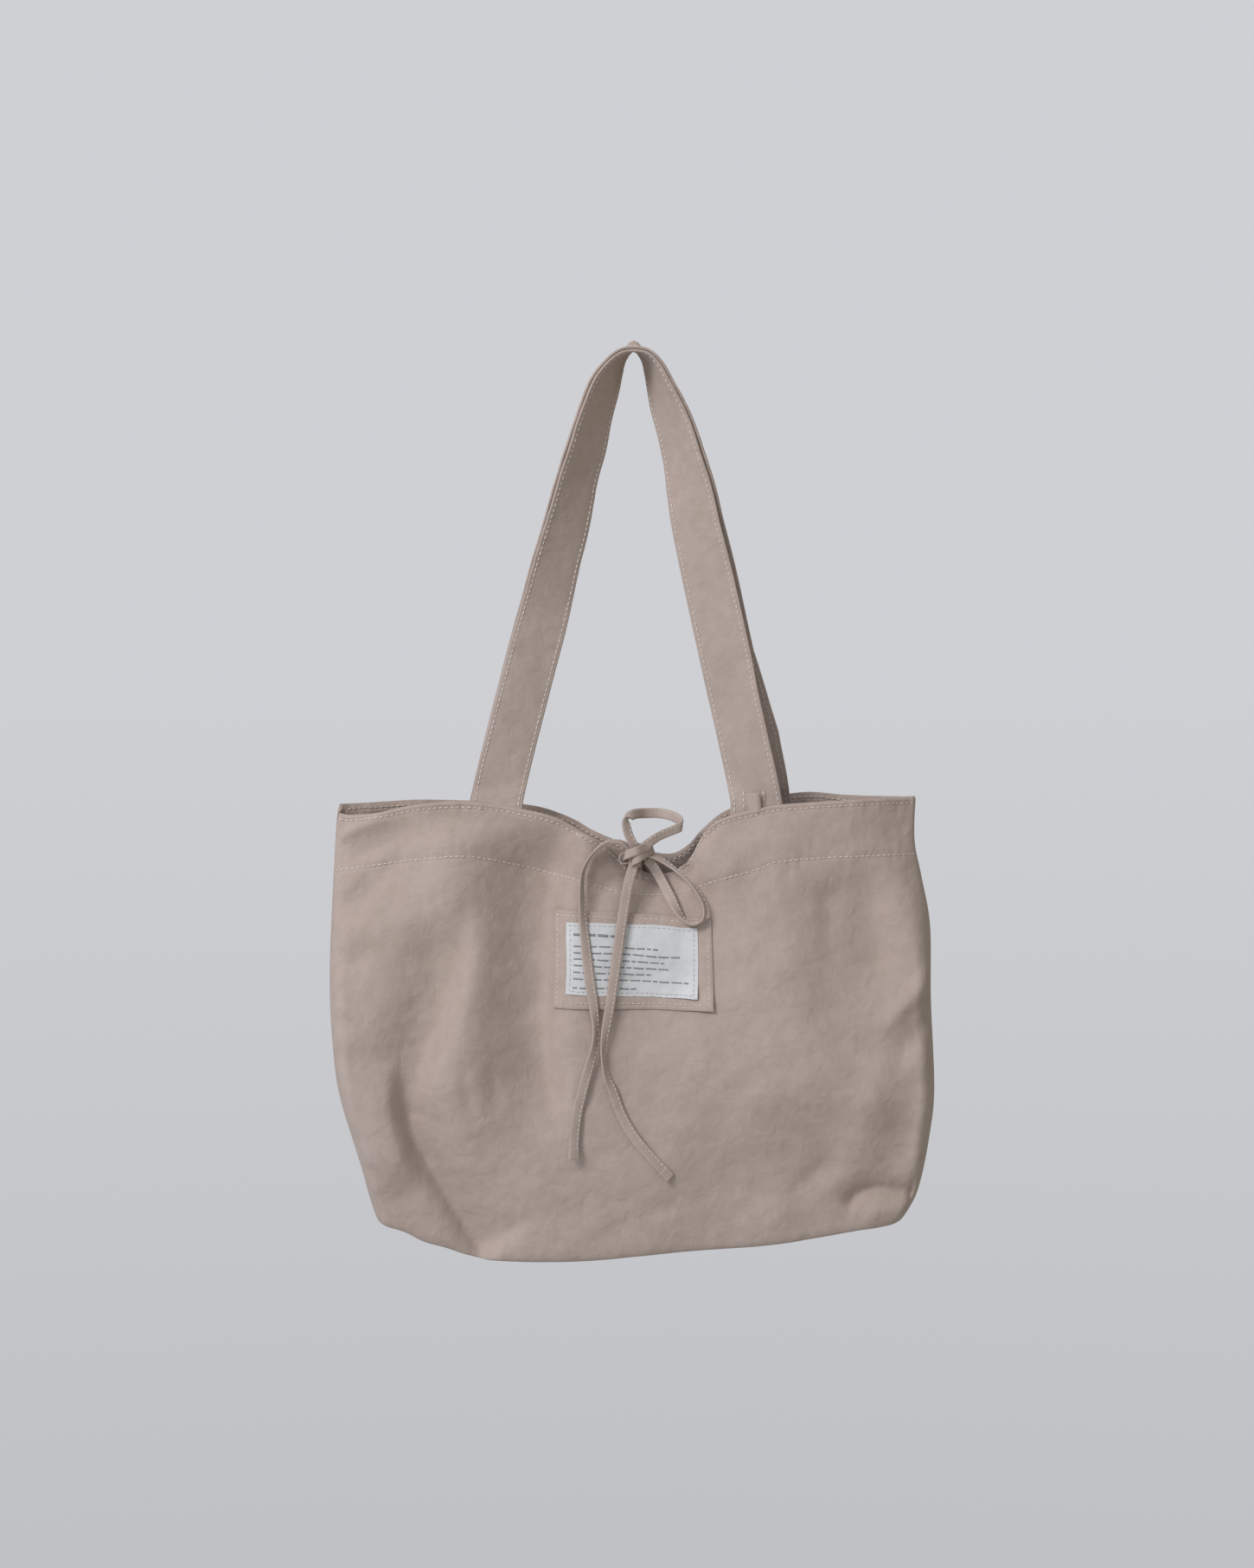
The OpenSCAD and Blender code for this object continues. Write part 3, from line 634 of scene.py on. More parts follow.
# Straps.
# Each leg is given by its two edges, from the crown down: front edge (x, z), rear edge (x, z).
strapSet = {
    "crown": {
        -1: [(0, 5.4, 0, 11.5), (9.5, 3.6, 5.6, 4.8), (19.3, -4.4, 8.2, -6), (27.2, -15.2, 10.5, -18.5),
        (35.6, -35.6, 15.5, -39.5),
            (42, -56, 20, -60), (48.5, -75.6, 25, -79.7)],
        1: [(0, 5.4, 0, 11.5), (9.5, 3.6, 5.6, 4.8), (18.3, -4.8, 7.9, -5.6), (28.6, -23.4, 11.2, -25.5),
        (37.6, -41.6, 16, -45.7),
            (44.5, -62, 20, -66.3), (51, -82, 22.3, -86.8)],
    },
    "front": {-1: [(-95, 54.2), (-115, 60.3), (-134, 66.5), (-154, 71.7), (-174, 77.9), (-193, 83),
    (-213, 88), (-232, 93), (-252, 98.2),
            (-272, 103.3), (-290, 106.6)],
        1: [(-95, 53.8), (-116, 59.2), (-138, 65), (-172, 72.5), (-193, 77), (-220, 81.8), (-247, 87.6),
        (-274, 94.1), (-290, 97.2)]},
    "rear": {-1: [(-95, 26.9), (-115, 31.4), (-134, 36.2), (-154, 40), (-174, 44.2), (-193, 49), (-213, 54),
    (-232, 59), (-252, 64),
            (-272, 68.8), (-290, 72.6)],
        1: [(-95, 23.2), (-116, 26.8), (-138, 31), (-172, 38), (-193, 42.5), (-220, 48.6), (-247, 54.8),
        (-274, 60.6), (-290, 63.2)]},
    "stations": [-108, -130, -152, -174, -196, -218, -238, -256, -270, -281, -290],
    "outside": {-1: [(0, 0), (-50, 0.5), (-150, 1.5), (-230, 2.3), (-272, 2.2), (-290, 3)],
        1: [(0, 0), (-50, 0.6), (-84, 1.8), (-138, 3), (-193, 3.4), (-220, 6.8), (-247, 9.3), (-274, 8.3),
        (-290, 7.5)]},
    "width": 34, "thick": 1.9, "nest": 2.2, "rimY": 14.9, "sewn": 31, "bump": {frontSide: 0.5, backSide: 4},
}


def at(points, z):
    p = np.array(points, float)[::-1]
    return np.interp(z, p[:, 0], p[:, 1])


def legEdges(hand):
    # The two edges of a leg, square to each other along the strap, as smooth dense lines.
    s = strapSet
    before = s["crown"][-hand][1]
    rows = [[-before[0], before[1], -before[2], before[3]]] + [list(r) for r in s["crown"][hand]]
    for z in s["stations"]:
        skew = 3.8 * (1 - float(ease((-z - 255) / 35)))
        rows.append([at(s["front"][hand], z + skew), z + skew, at(s["rear"][hand], z - skew), z - skew])
    return spline(rows, 8)[8:]


def strapOutline():
    # Corners of a strap's section in shares of its half width and thickness, with a fold line.
    top = [(a, 1) for a in np.linspace(-0.95, 0.95, 17)]
    right = [(0.985, 0.8), (1.0, 0.45), (0.99, 0.0), (1.0, -0.45), (0.985, -0.8)]
    low = [(a, -1) for a in np.linspace(0.95, -0.95, 17)]
    left = [(-0.985, -0.8), (-1.0, -0.45), (-0.99, 0.0), (-1.0, 0.45), (-0.985, 0.8)]
    return np.array(top + right + low + left)


def legFrames(hand, side):
    # Centre, across and up vectors down one leg, from the crown to the end sewn in the hem.
    s = strapSet
    edges = legEdges(hand)
    front, rear = edges[:, :2] * [hand, 1], edges[:, 2:] * [hand, 1]
    middle = (front + rear) / 2
    if side == backSide:
        push = at(s["outside"][hand], middle[:, 1])
        middle[:, 0] += hand * push
    gap = front - rear
    deep = np.sqrt(np.maximum(s["width"] ** 2 - (gap ** 2).sum(1), 0))
    across = unitRows(np.column_stack([gap[:, 0], -deep, gap[:, 1]]))
    step = np.gradient(middle, axis=0)
    step[0] = [hand, 0]
    way = unitRows(np.column_stack([step[:, 0], np.zeros(len(step)), step[:, 1]]))
    up = unitRows(np.cross(across, way) * hand)
    spread = ease((-middle[:, 1] - 60) / 230)
    nest = s["nest"] if side == backSide else 0
    centre = np.column_stack([middle[:, 0], side * s["rimY"] * spread, middle[:, 1]]) + up * (nest
        * (1 - spread))[:, None]
    # Below the rim the sewn end follows the inside of the hem.
    down = np.arange(1, int(s["sewn"] / 2) + 1) * 2.0
    tail = np.column_stack([np.full(len(down), centre[-1, 0]), np.full(len(down), centre[-1, 1]),
        centre[-1, 2] - down])
    centre = np.vstack([centre, tail])
    across = np.vstack([across, np.repeat([[hand, 0, 0]], len(tail), 0)])
    up = np.vstack([up, np.repeat([[0, 1, 0]], len(tail), 0)])
    return centre, across, up


def strapFrames(side):
    a, b = legFrames(-1, side), legFrames(1, side)
    joined = [np.vstack([p[::-1], q[1:]]) for p, q in zip(a, b)]
    centre, across, up = joined
    lengths = np.concatenate([[0], np.cumsum(np.linalg.norm(np.diff(centre, axis=0), axis=1))])
    even = np.linspace(0, lengths[-1], int(lengths[-1] / 2.2))
    centre, across, up = [np.column_stack([np.interp(even, lengths, q[:, i]) for i in range(3)])
        for q in joined]
    return centre, unitRows(across), unitRows(up), even


def strapSurface(side, a, b):
    # Rings of a strap at the section's corners a (across) and b (up), in millimetres.
    s = strapSet
    centre, across, up, along = strapFrames(side)
    wide, thick = s["width"] / 2, s["thick"] / 2
    a, b = np.asarray(a, float), np.asarray(b, float)
    edge = np.exp(-((np.abs(a) - 0.84) / 0.05) ** 2) * 0.28
    ripple = 0.55 * wander(along[:, None] * np.ones(len(a)), (a * wide)[None, :] * np.ones((len(along), 1)),
        24, 20 + side)
    ripple += 0.16 * wander(along[:, None] * np.ones(len(a)),
        (a * wide)[None, :] * np.ones((len(along), 1)), 7, 23 + side)
    calm = (1 - ease((40 - np.abs(along - along[-1] / 2)) / 40) * 0.7)[:, None]
    lift = (b * (1 - edge))[None, :] * thick + ripple * calm * 0.8
    points = centre[:, None, :] + across[:, None, :] * (a * wide)[None, :, None] + up[:, None,
        :] * lift[..., None]
    # The sewn end lies flat against the inside of the hem, whatever the folds do there.
    behind = bodySet["cloth"] * 2 + 0.3 + s["thick"] / 2
    inside = side * (np.abs(surfaceY(points[..., 0], points[..., 2], side, fine=False))
        - behind) + lift * up[:, 1:2]
    points[..., 1] = mix(points[..., 1], inside, ease((-points[..., 2] - 280) / 12))
    crown = ease(1 - np.abs(points[..., 0]) / 20) * ease(points[..., 1] / 17) * (points[..., 2] > -30)
    points[..., 2] += s["bump"][side] * crown
    return points, along


def makeStrap(side, node):
    section = strapOutline()
    rings, along = strapSurface(side, section[:, 0], section[:, 1])
    uv = np.stack([np.repeat(along[:, None], len(section), 1),
        np.repeat((section[:, 0] * strapSet["width"] / 2 + section[:, 1] * 0.9)[None, :], len(along), 0)],
        -1) * mm
    piece = sweepPiece(node + "_cloth", rings * mm, strapCanvas, uv)
    ends = [node + "_left_end", node + "_right_end"]
    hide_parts(node, *ends)
    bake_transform(piece)
    return piece


makeStrap(frontSide, "front_strap")
makeStrap(backSide, "back_strap")
print("straps made")


# Stitches.
stitchSet = {"pitch": 3.7, "length": 2.6, "width": 0.78}


def stitchTree():
    # A row of small thread lengths laid end to end along each edge.
    tree = bpy.data.node_groups.new("stitchRow", "GeometryNodeTree")
    face = tree.interface
    face.new_socket("Geometry", in_out="INPUT", socket_type="NodeSocketGeometry")
    for name, value in (("Pitch", 0.0037), ("Length", 0.0025), ("Width", 0.0007)):
        face.new_socket(name, in_out="INPUT", socket_type="NodeSocketFloat").default_value = value
    face.new_socket("Thread", in_out="INPUT", socket_type="NodeSocketMaterial")
    face.new_socket("Geometry", in_out="OUTPUT", socket_type="NodeSocketGeometry")
    given, out = tree.nodes.new("NodeGroupInput"), tree.nodes.new("NodeGroupOutput")
    link = tree.links.new
    line = tree.nodes.new("GeometryNodeMeshToCurve")
    even = tree.nodes.new("GeometryNodeResampleCurve")
    even.mode = "LENGTH"
    link(given.outputs["Geometry"], line.inputs["Mesh"])
    link(line.outputs["Curve"], even.inputs["Curve"])
    link(given.outputs["Pitch"], even.inputs["Length"])
    bead = tree.nodes.new("GeometryNodeMeshUVSphere")
    bead.inputs["Segments"].default_value = 6
    bead.inputs["Rings"].default_value = 6
    bead.inputs["Radius"].default_value = 0.5
    shape = tree.nodes.new("ShaderNodeCombineXYZ")
    for axis, name in (("X", "Width"), ("Y", "Width"), ("Z", "Length")):
        link(given.outputs[name], shape.inputs[axis])
    vary = tree.nodes.new("FunctionNodeRandomValue")
    vary.data_type = "FLOAT"
    vary.inputs[2].default_value = 0.85
    vary.inputs[3].default_value = 1.15
    vary.inputs["Seed"].default_value = 3
    sized = tree.nodes.new("ShaderNodeVectorMath")
    sized.operation = "SCALE"
    link(shape.outputs[0], sized.inputs[0])
    link(vary.outputs[1], sized.inputs["Scale"])
    way = tree.nodes.new("GeometryNodeInputTangent")
    turn = tree.nodes.new("FunctionNodeAlignRotationToVector")
    turn.axis = "Z"
    link(way.outputs[0], turn.inputs["Vector"])
    lay = tree.nodes.new("GeometryNodeInstanceOnPoints")
    link(even.outputs["Curve"], lay.inputs["Points"])
    link(bead.outputs["Mesh"], lay.inputs["Instance"])
    link(turn.outputs[0], lay.inputs["Rotation"])
    link(sized.outputs[0], lay.inputs["Scale"])
    real = tree.nodes.new("GeometryNodeRealizeInstances")
    paint = tree.nodes.new("GeometryNodeSetMaterial")
    link(lay.outputs[0], real.inputs[0])
    link(real.outputs[0], paint.inputs["Geometry"])
    link(given.outputs["Thread"], paint.inputs["Material"])
    link(paint.outputs[0], out.inputs[0])
    return tree


stitchRow = stitchTree()


def stitchPiece(name, lines, material, pitch=None, length=None, width=None):
    # One mesh of stitches along several lines given in millimetres.
    s = stitchSet
    points, edges = [], []
    for line in lines:
        start = len(points)
        points += [tuple(p * mm) for p in line]
        edges += [(start + i, start + i + 1) for i in range(len(line) - 1)]
    mesh = bpy.data.meshes.new(name + "_line")
    mesh.from_pydata(points, edges, [])
    rough = bpy.data.objects.new(name + "_line", mesh)
    bpy.context.collection.objects.link(rough)
    rows = rough.modifiers.new("stitches", "NODES")
    rows.node_group = stitchRow
    wanted = {"Pitch": (pitch or s["pitch"]) * mm, "Length": (length or s["length"]) * mm,
        "Width": (width or s["width"]) * mm, "Thread": material}
    for item in stitchRow.interface.items_tree:
        if item.in_out == "INPUT" and item.name in wanted:
            rows[item.identifier] = wanted[item.name]
    seen = rough.evaluated_get(bpy.context.evaluated_depsgraph_get())
    made = bpy.data.meshes.new_from_object(seen)
    made.shade_smooth()
    piece = bpy.data.objects.new(name, made)
    bpy.context.collection.objects.link(piece)
    bpy.data.objects.remove(rough)
    return piece


def lift(line, side, out):
    # Moves a line on a panel's outside along the panel's own normal.
    x, z = line[:, 0], line[:, 1]
    step = 0.6
    y = surfaceY(x, z, side)
    slopeX = (surfaceY(x + step, z, side) - surfaceY(x - step, z, side)) / (2 * step)
    slopeZ = (surfaceY(x, z + step, side) - surfaceY(x, z - step, side)) / (2 * step)
    normal = unitRows(np.column_stack([-slopeX, np.ones(len(x)), -slopeZ]) * side)
    return np.column_stack([x, y, z]) + normal * out


def rimRow(side, down, out, reach=0.985):
    x = np.linspace(-leftEdge(0.02) * reach, rightEdge(0.02) * reach, 260)
    return lift(np.column_stack([x, rimLine[side](x) - down]), side, out)


def hemRow(side, out, reach=0.985):
    x = np.linspace(-leftEdge(0.13) * reach, rightEdge(0.13) * reach, 260)
    z = hemLine(x) if side == frontSide else rimLine[side](x) - 37
    return lift(np.column_stack([x, z]), side, out)


for side, name in ((frontSide, "front"), (backSide, "back")):
    inside = -(bodySet["cloth"] * 2 + 0.22)
    piece = stitchPiece(name + "_hem_stitches", [rimRow(side, 4.0, 0.34), hemRow(side, 0.36),
        rimRow(side, 4.0, -bodySet["rimRoll"] + 0.15, 0.97), hemRow(side, inside, 0.96)], creamThread)
    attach(piece, "bag")


def strapRow(side, a, b, out):
    rings, along = strapSurface(side, [a, a], [b, 0])
    face = unitRows(rings[:, 0] - rings[:, 1])
    return rings[:, 0] + face * out


for side, name, body in ((frontSide, "front", "front_loop"), (backSide, "back", "back_loop")):
    piece = stitchPiece(name + "_strap_stitches",
        [strapRow(side, a, b, 0.22) for a in (-0.84, 0.84) for b in (-1, 1)], creamThread)
    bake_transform(piece)
print("stitches made")

# Keeper loop.
keeperSet = {"left": 69, "slit": 83.2, "right": 86.4, "low": -297, "high": -284, "thick": 1.0, "open": 3.8}


def strapSpot(side, x, z, out):
    # A point on the viewer's face of the right leg of a strap.
    centre, across, up, along = strapFrames(side)
    right = centre[:, 0] > 5
    order = np.argsort(centre[right, 2])
    pick = lambda q: np.column_stack([np.interp(z, centre[right, 2][order], q[right, i][order])
        for i in range(3)])
    c, a, u = pick(centre), unitRows(pick(across)), unitRows(pick(up))
    back = np.where(u[:, 1:2] > 0, -1, 1)
    return c + a * ((x - c[:, 0]) / a[:, 0])[:, None] + u * back * (strapSet["thick"] / 2 + out)[:, None]


def keeperSheet(name, x, out):
    # A small folded band across the strap; out is how far it stands off along x.
    s = keeperSet
    rows = np.linspace(0, 1, 14)
    high = s["high"] + 0.02 * (x - s["left"])
    zs = np.array([mix(s["low"], high, r) for r in rows])
    xs = np.repeat(x[None, :], len(rows), 0)
    grids = []
    for extra in (s["thick"], 0):
        off = np.repeat(out[None, :], len(rows), 0) * (0.75 + 0.25 * rows[:, None]) + extra
        g = strapSpot(frontSide, xs.ravel(), zs.ravel(), off.ravel() + 0.12)
        grids.append(g.reshape(len(rows), len(x), 3))
    outer, inner = grids
    middle = (outer + inner) / 2
    for grid in (outer, inner):
        grid[:, 0] = mix(grid[:, 0], middle[:, 0], 0.7)
        grid[:, -1] = mix(grid[:, -1], middle[:, -1], 0.7)
        grid[-1] = mix(grid[-1], middle[-1], 0.7)
    piece = sheetPiece(name, outer[::-1] * mm, inner[::-1] * mm, strapCanvas, frontSide, clothLengths(outer))
    return piece, outer


bandX = np.linspace(keeperSet["left"], keeperSet["slit"], 26)
rise = keeperSet["open"] * ease((bandX - 74) / 7) * (1 - 0.2 * ease((bandX - 81.5) / 2))
keeperBand, bandFace = keeperSheet("keeper_loop_band", bandX, rise)
tabX = np.linspace(keeperSet["slit"] - 2.5, keeperSet["right"], 16)
keeperTab, tabFace = keeperSheet("keeper_loop_tab", tabX, np.zeros(len(tabX)))
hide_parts("keeper_loop")
keeperStitches = stitchPiece("keeper_loop_stitches",
    [bandFace[:, 5] + [0, -0.1, 0], tabFace[:, 11] + [0, -0.1, 0]], creamThread)
for piece in (keeperBand, keeperTab, keeperStitches):
    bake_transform(piece)
print("keeper made")

# Patch and label.
patchSet = {
    "corners": [(-51.0, -359.5), (50.4, -365.7), (52.1, -425.0), (-52.1, -423.4)], "thick": 1.5,
    "gap": 0.15, "edge": 2.8,
}
labelPlace = {
    "corners": [(-42.6, -367.9), (42.0, -371.8), (42.6, -417.8), (-43.7, -414.4)], "thick": 0.55, "edge": 2.2,
}


def bilinear(corners, u, v):
    a, b, c, d = [np.array(p, float) for p in corners]
    top = a + (b - a) * u[..., None]
    low = d + (c - d) * u[..., None]
    return top + (low - top) * v[..., None]


def patchLift(u, v):
    # The patch stands a little off the bag at its free lower right corner, and a little, unevenly, all over.
    corner = 1.6 * np.exp(-((1 - u) ** 2 + (1 - v) ** 2) / 0.02)
    return corner + 0.5 * wander(u * 60, v * 40, 18, 31)


def flatPatch(name, s, base, material, round=0.9, rows=70, cols=110):
    u, v = np.meshgrid(np.linspace(0, 1, cols), np.linspace(0, 1, rows))
    xz = bilinear(s["corners"], u, v)
    bow = 0.5 * wander(u * 100, v * 60, 30, 37)
    xz = xz + np.stack([bow * 0.6, bow * 0.6], -1)
    wide, high = 104 * np.minimum(u, 1 - u), 60 * np.minimum(v, 1 - v)
    rim = np.minimum(wide, high)
    edge = np.sqrt(np.clip(1 - (1 - np.clip(rim / round, 0, 1)) ** 2, 0, 1))
    groove = np.exp(-((rim - s["edge"]) / 0.6) ** 2) * 0.3
    grids = []
    lowSurface = surfaceY(xz[..., 0], xz[..., 1], frontSide)
    grid = np.stack([xz[..., 0], lowSurface, xz[..., 1]], -1)
    normal = gridNormals(grid, frontSide)
    stand = base + np.maximum(patchLift(u, v), 0)
    top = stand + s["thick"] * (0.5 + 0.5 * edge) - groove
    low = stand + s["thick"] * (0.5 - 0.5 * edge)
    outer, inner = grid + normal * top[..., None], grid + normal * low[..., None]
    uv = np.stack([xz[..., 0], xz[..., 1]], -1) * mm
    piece = sheetPiece(name, outer * mm, inner * mm, material, frontSide, uv)
    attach(piece, "bag")
    return piece, outer, normal, rim


def seamRing(outer, normal, rim, at, out):
    # The closed line at a distance in from a patch's edge, on its face.
    rows, cols = rim.shape
    r = int(np.argmax(rim[:, cols // 2] >= at))
    c = int(np.argmax(rim[rows // 2] >= at))
    face = outer + normal * out
    loop = [face[r, k] for k in range(c, cols - c)] + [face[k, cols - 1 - c] for k in range(r, rows - r)]
    loop += [face[rows - 1 - r, k] for k in range(cols - 1 - c, c - 1, -1)] + [face[k, c]
        for k in range(rows - 1 - r, r - 1, -1)]
    return np.array(loop)


patch, patchFace, patchNormal, patchRim = flatPatch("front_patch_cloth", patchSet, patchSet["gap"], canvas)
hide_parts("front_patch")
labelBase = patchSet["gap"] + patchSet["thick"] + 0.05
label, labelFace, labelNormal, labelRim = flatPatch("woven_label_cloth", labelPlace, labelBase, labelCloth,
    0.5)
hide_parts("woven_label")
patchSeam = stitchPiece("front_patch_stitches", [seamRing(patchFace, patchNormal, patchRim,
    patchSet["edge"], 0.14)], creamThread, 3.4, 2.2, 0.62)
labelSeam = stitchPiece("woven_label_stitches",
    [seamRing(labelFace, labelNormal, labelRim, labelPlace["edge"], 0.02)],
    greyThread, 3.2, 2.2, 0.4)
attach(patchSeam, "bag")
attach(labelSeam, "bag")

# Plain woven bars in rows, with no lettering: height of the row, where it starts and ends, its thickness.
barSet = {"rows": [(0.17, 0.05, 0.44, 0.036), (0.33, 0.05, 0.69, 0.021), (0.42, 0.05, 0.86, 0.021),
    (0.51, 0.05, 0.74, 0.021),
    (0.60, 0.05, 0.77, 0.021), (0.69, 0.05, 0.66, 0.021), (0.78, 0.05, 0.93, 0.021),
    (0.90, 0.05, 0.55, 0.021)],
    "stand": 0.09, "word": (0.03, 0.085), "space": 0.015}
barInk = threadMaterial("woven_bar_thread", (0.30, 0.295, 0.30, 1))


def makeBars():
    rows, cols = labelRim.shape
    points, faces = [], []
    bars = []
    for v, a, b, high in barSet["rows"]:
        while a < b - 0.02:
            share = 0.5 + 0.5 * math.sin(61 * a + 37 * v)
            stop = min(a + mix(*barSet["word"], share), b)
            bars.append((v, a, stop, high))
            a = stop + barSet["space"]
    for v, a, b, high in bars:
        us = np.linspace(a, b, 12)
        for end in (v - high / 2, v + high / 2):
            r = np.full(12, end * (rows - 1))
            c = us * (cols - 1)
            r0, c0 = r.astype(int), c.astype(int)
            fr, fc = (r - r0)[:, None], (c - c0)[:, None]
            r1, c1 = np.minimum(r0 + 1, rows - 1), np.minimum(c0 + 1, cols - 1)
            f = labelFace + labelNormal * barSet["stand"]
            row = (f[r0, c0] * (1 - fr) + f[r1, c0] * fr) * (1 - fc) + (f[r0, c1] * (1 - fr)
                + f[r1, c1] * fr) * fc
            points.append(row)
        base = (len(points) - 2) * 12
        faces += [[base + i, base + 12 + i, base + 13 + i, base + i + 1] for i in range(11)]
    woven = newPiece("woven_label_bars", np.vstack(points) * mm, faces, barInk, closed=False)
    solid = woven.modifiers.new("thick", "SOLIDIFY")
    solid.thickness = 0.00008
    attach(woven, "bag")


makeBars()
print("patch and label made")

# Ties.
# Route points are sideways, in front of the panel and up from the rim's height, in metres; the second
# triple is the direction of the tape's width there.
tieSet = {"width": 6.6, "thick": 1.25, "rim": -290}
routes = {
    "left_tail": [
        [(-0.0028, 0.0074, -0.0296), (0, 1, 0.5)], [(-0.0065, 0.008, -0.0268), (0, 1, 0.45)],
        [(-0.011, 0.008, -0.0255), (0, 1, 0.35)], [(-0.0185, 0.008, -0.0262), (0, 1, 0.2)],
        [(-0.0262, 0.0065, -0.0325), (0.15, 1, 0.1)], [(-0.0314, 0.006, -0.041), (0.25, 1, 0)],
        [(-0.0336, 0.0055, -0.0495), (0.35, 1, 0)], [(-0.0338, 0.005, -0.0632), (0.6, 1, 0)],
        [(-0.0328, 0.005, -0.0776), (0.9, 0.8, 0)], [(-0.0313, 0.005, -0.0915), (1, 0.45, 0)],
        [(-0.0288, 0.005, -0.113), (1, 0.2, 0)], [(-0.0262, 0.005, -0.13), (1, 0.35, 0)],
        [(-0.0246, 0.0055, -0.1457), (0.6, 1, 0)], [(-0.0256, 0.0055, -0.1575), (0.75, 0.9, 0)],
        [(-0.0285, 0.005, -0.1688), (1, 0.5, 0)], [(-0.0325, 0.0045, -0.183), (1, 0.25, 0)],
        [(-0.0362, 0.004, -0.199), (1, 0.3, 0)], [(-0.0381, 0.004, -0.2145), (1, 0.35, 0)],
        [(-0.0389, 0.004, -0.228), (1, 0.4, 0)]],
    "right_tail": [
        [(0.0004, 0.0086, -0.0386), (1, 0.3, 0.2)], [(-0.0008, 0.009, -0.043), (1, 0.25, 0.1)],
        [(-0.0042, 0.0075, -0.0555), (1, 0.2, 0)], [(-0.0078, 0.0062, -0.0776), (1, 0.15, -0.05)],
        [(-0.0115, 0.006, -0.1035), (1, 0.15, -0.05)], [(-0.0154, 0.006, -0.1306), (1, 0.3, -0.05)],
        [(-0.018, 0.0055, -0.1457), (0.9, 0.55, 0)], [(-0.0197, 0.005, -0.1575), (0.55, 0.9, 0)],
        [(-0.0198, 0.0045, -0.1655), (0.3, 1, 0.1)], [(-0.0173, 0.004, -0.1772), (0.6, 0.9, 0.35)],
        [(-0.0138, 0.0035, -0.185), (0.8, 0.6, 0.45)], [(-0.0081, 0.003, -0.2006), (0.9, 0.35, 0.5)],
        [(0.0013, 0.003, -0.2163), (0.85, 0.3, 0.6)], [(0.0147, 0.003, -0.2316), (0.8, 0.3, 0.65)],
        [(0.0225, 0.003, -0.2405), (0.8, 0.3, 0.65)]],
    "upper_bow_loop": [
        [(0.0016, 0.009, -0.0302), (1, 0.5, 0)], [(-0.0012, 0.0095, -0.026), (1, 0.5, 0)],
        [(-0.0042, 0.008, -0.0185), (1, 0.6, 0.1)], [(-0.0048, 0.006, -0.012), (0.7, 0.8, 0.5)],
        [(-0.0005, 0.003, -0.008), (0, 0.35, 1)], [(0.008, 0, -0.0072), (0, 0.15, 1)],
        [(0.0175, -0.001, -0.0073), (0, 0.15, 1)], [(0.0256, 0.001, -0.0092), (0.05, 0.15, 1)],
        [(0.0308, 0.005, -0.0125), (0.1, 0, 1)], [(0.0305, 0.0115, -0.0158), (0.1, -0.25, 1)],
        [(0.0245, 0.015, -0.0185), (0, -0.55, 1)], [(0.0165, 0.0155, -0.022), (0, -0.6, 1)],
        [(0.0095, 0.0135, -0.0268), (-0.15, -0.4, 1)], [(0.006, 0.011, -0.0305), (-0.3, -0.2, 1)]],
    "lower_bow_loop": [
        [(0.0086, 0.0086, -0.0336), (0.25, 1, 0.5)], [(0.0145, 0.009, -0.036), (0.2, 1, 0.45)],
        [(0.0218, 0.0085, -0.0402), (0.15, 1, 0.35)], [(0.0302, 0.008, -0.0463), (0.1, 1, 0.2)],
        [(0.038, 0.0075, -0.0538), (0.2, 1, 0.1)], [(0.044, 0.007, -0.0626), (0.4, 1, 0.05)],
        [(0.0462, 0.0065, -0.0702), (0.4, 1, -0.1)], [(0.0445, 0.006, -0.0765), (0.15, 1, -0.2)],
        [(0.0385, 0.006, -0.0788), (0.1, 1, 0.15)], [(0.0322, 0.0065, -0.0758), (0.3, 1, 0.1)],
        [(0.0275, 0.0075, -0.069), (0.8, 0.8, 0.4)], [(0.0238, 0.0078, -0.062), (0.9, 0.3, 0.5)],
        [(0.0182, 0.0078, -0.0515), (0.9, 0.15, 0.45)], [(0.0125, 0.008, -0.0418), (0.9, 0.15, 0.45)],
        [(0.0086, 0.008, -0.0376), (0.85, 0.3, 0.45)]],
}


def lie(points):
    # Places route points in front of the front panel; above the rim they keep the rim's own depth.
    q = np.array(points, float) / mm
    height = q[:, 2] + tieSet["rim"]
    z = np.minimum(height, rimLine[frontSide](q[:, 0]) - 1)
    return np.column_stack([q[:, 0], surfaceY(q[:, 0], z, frontSide, fine=False) - q[:, 1], height])


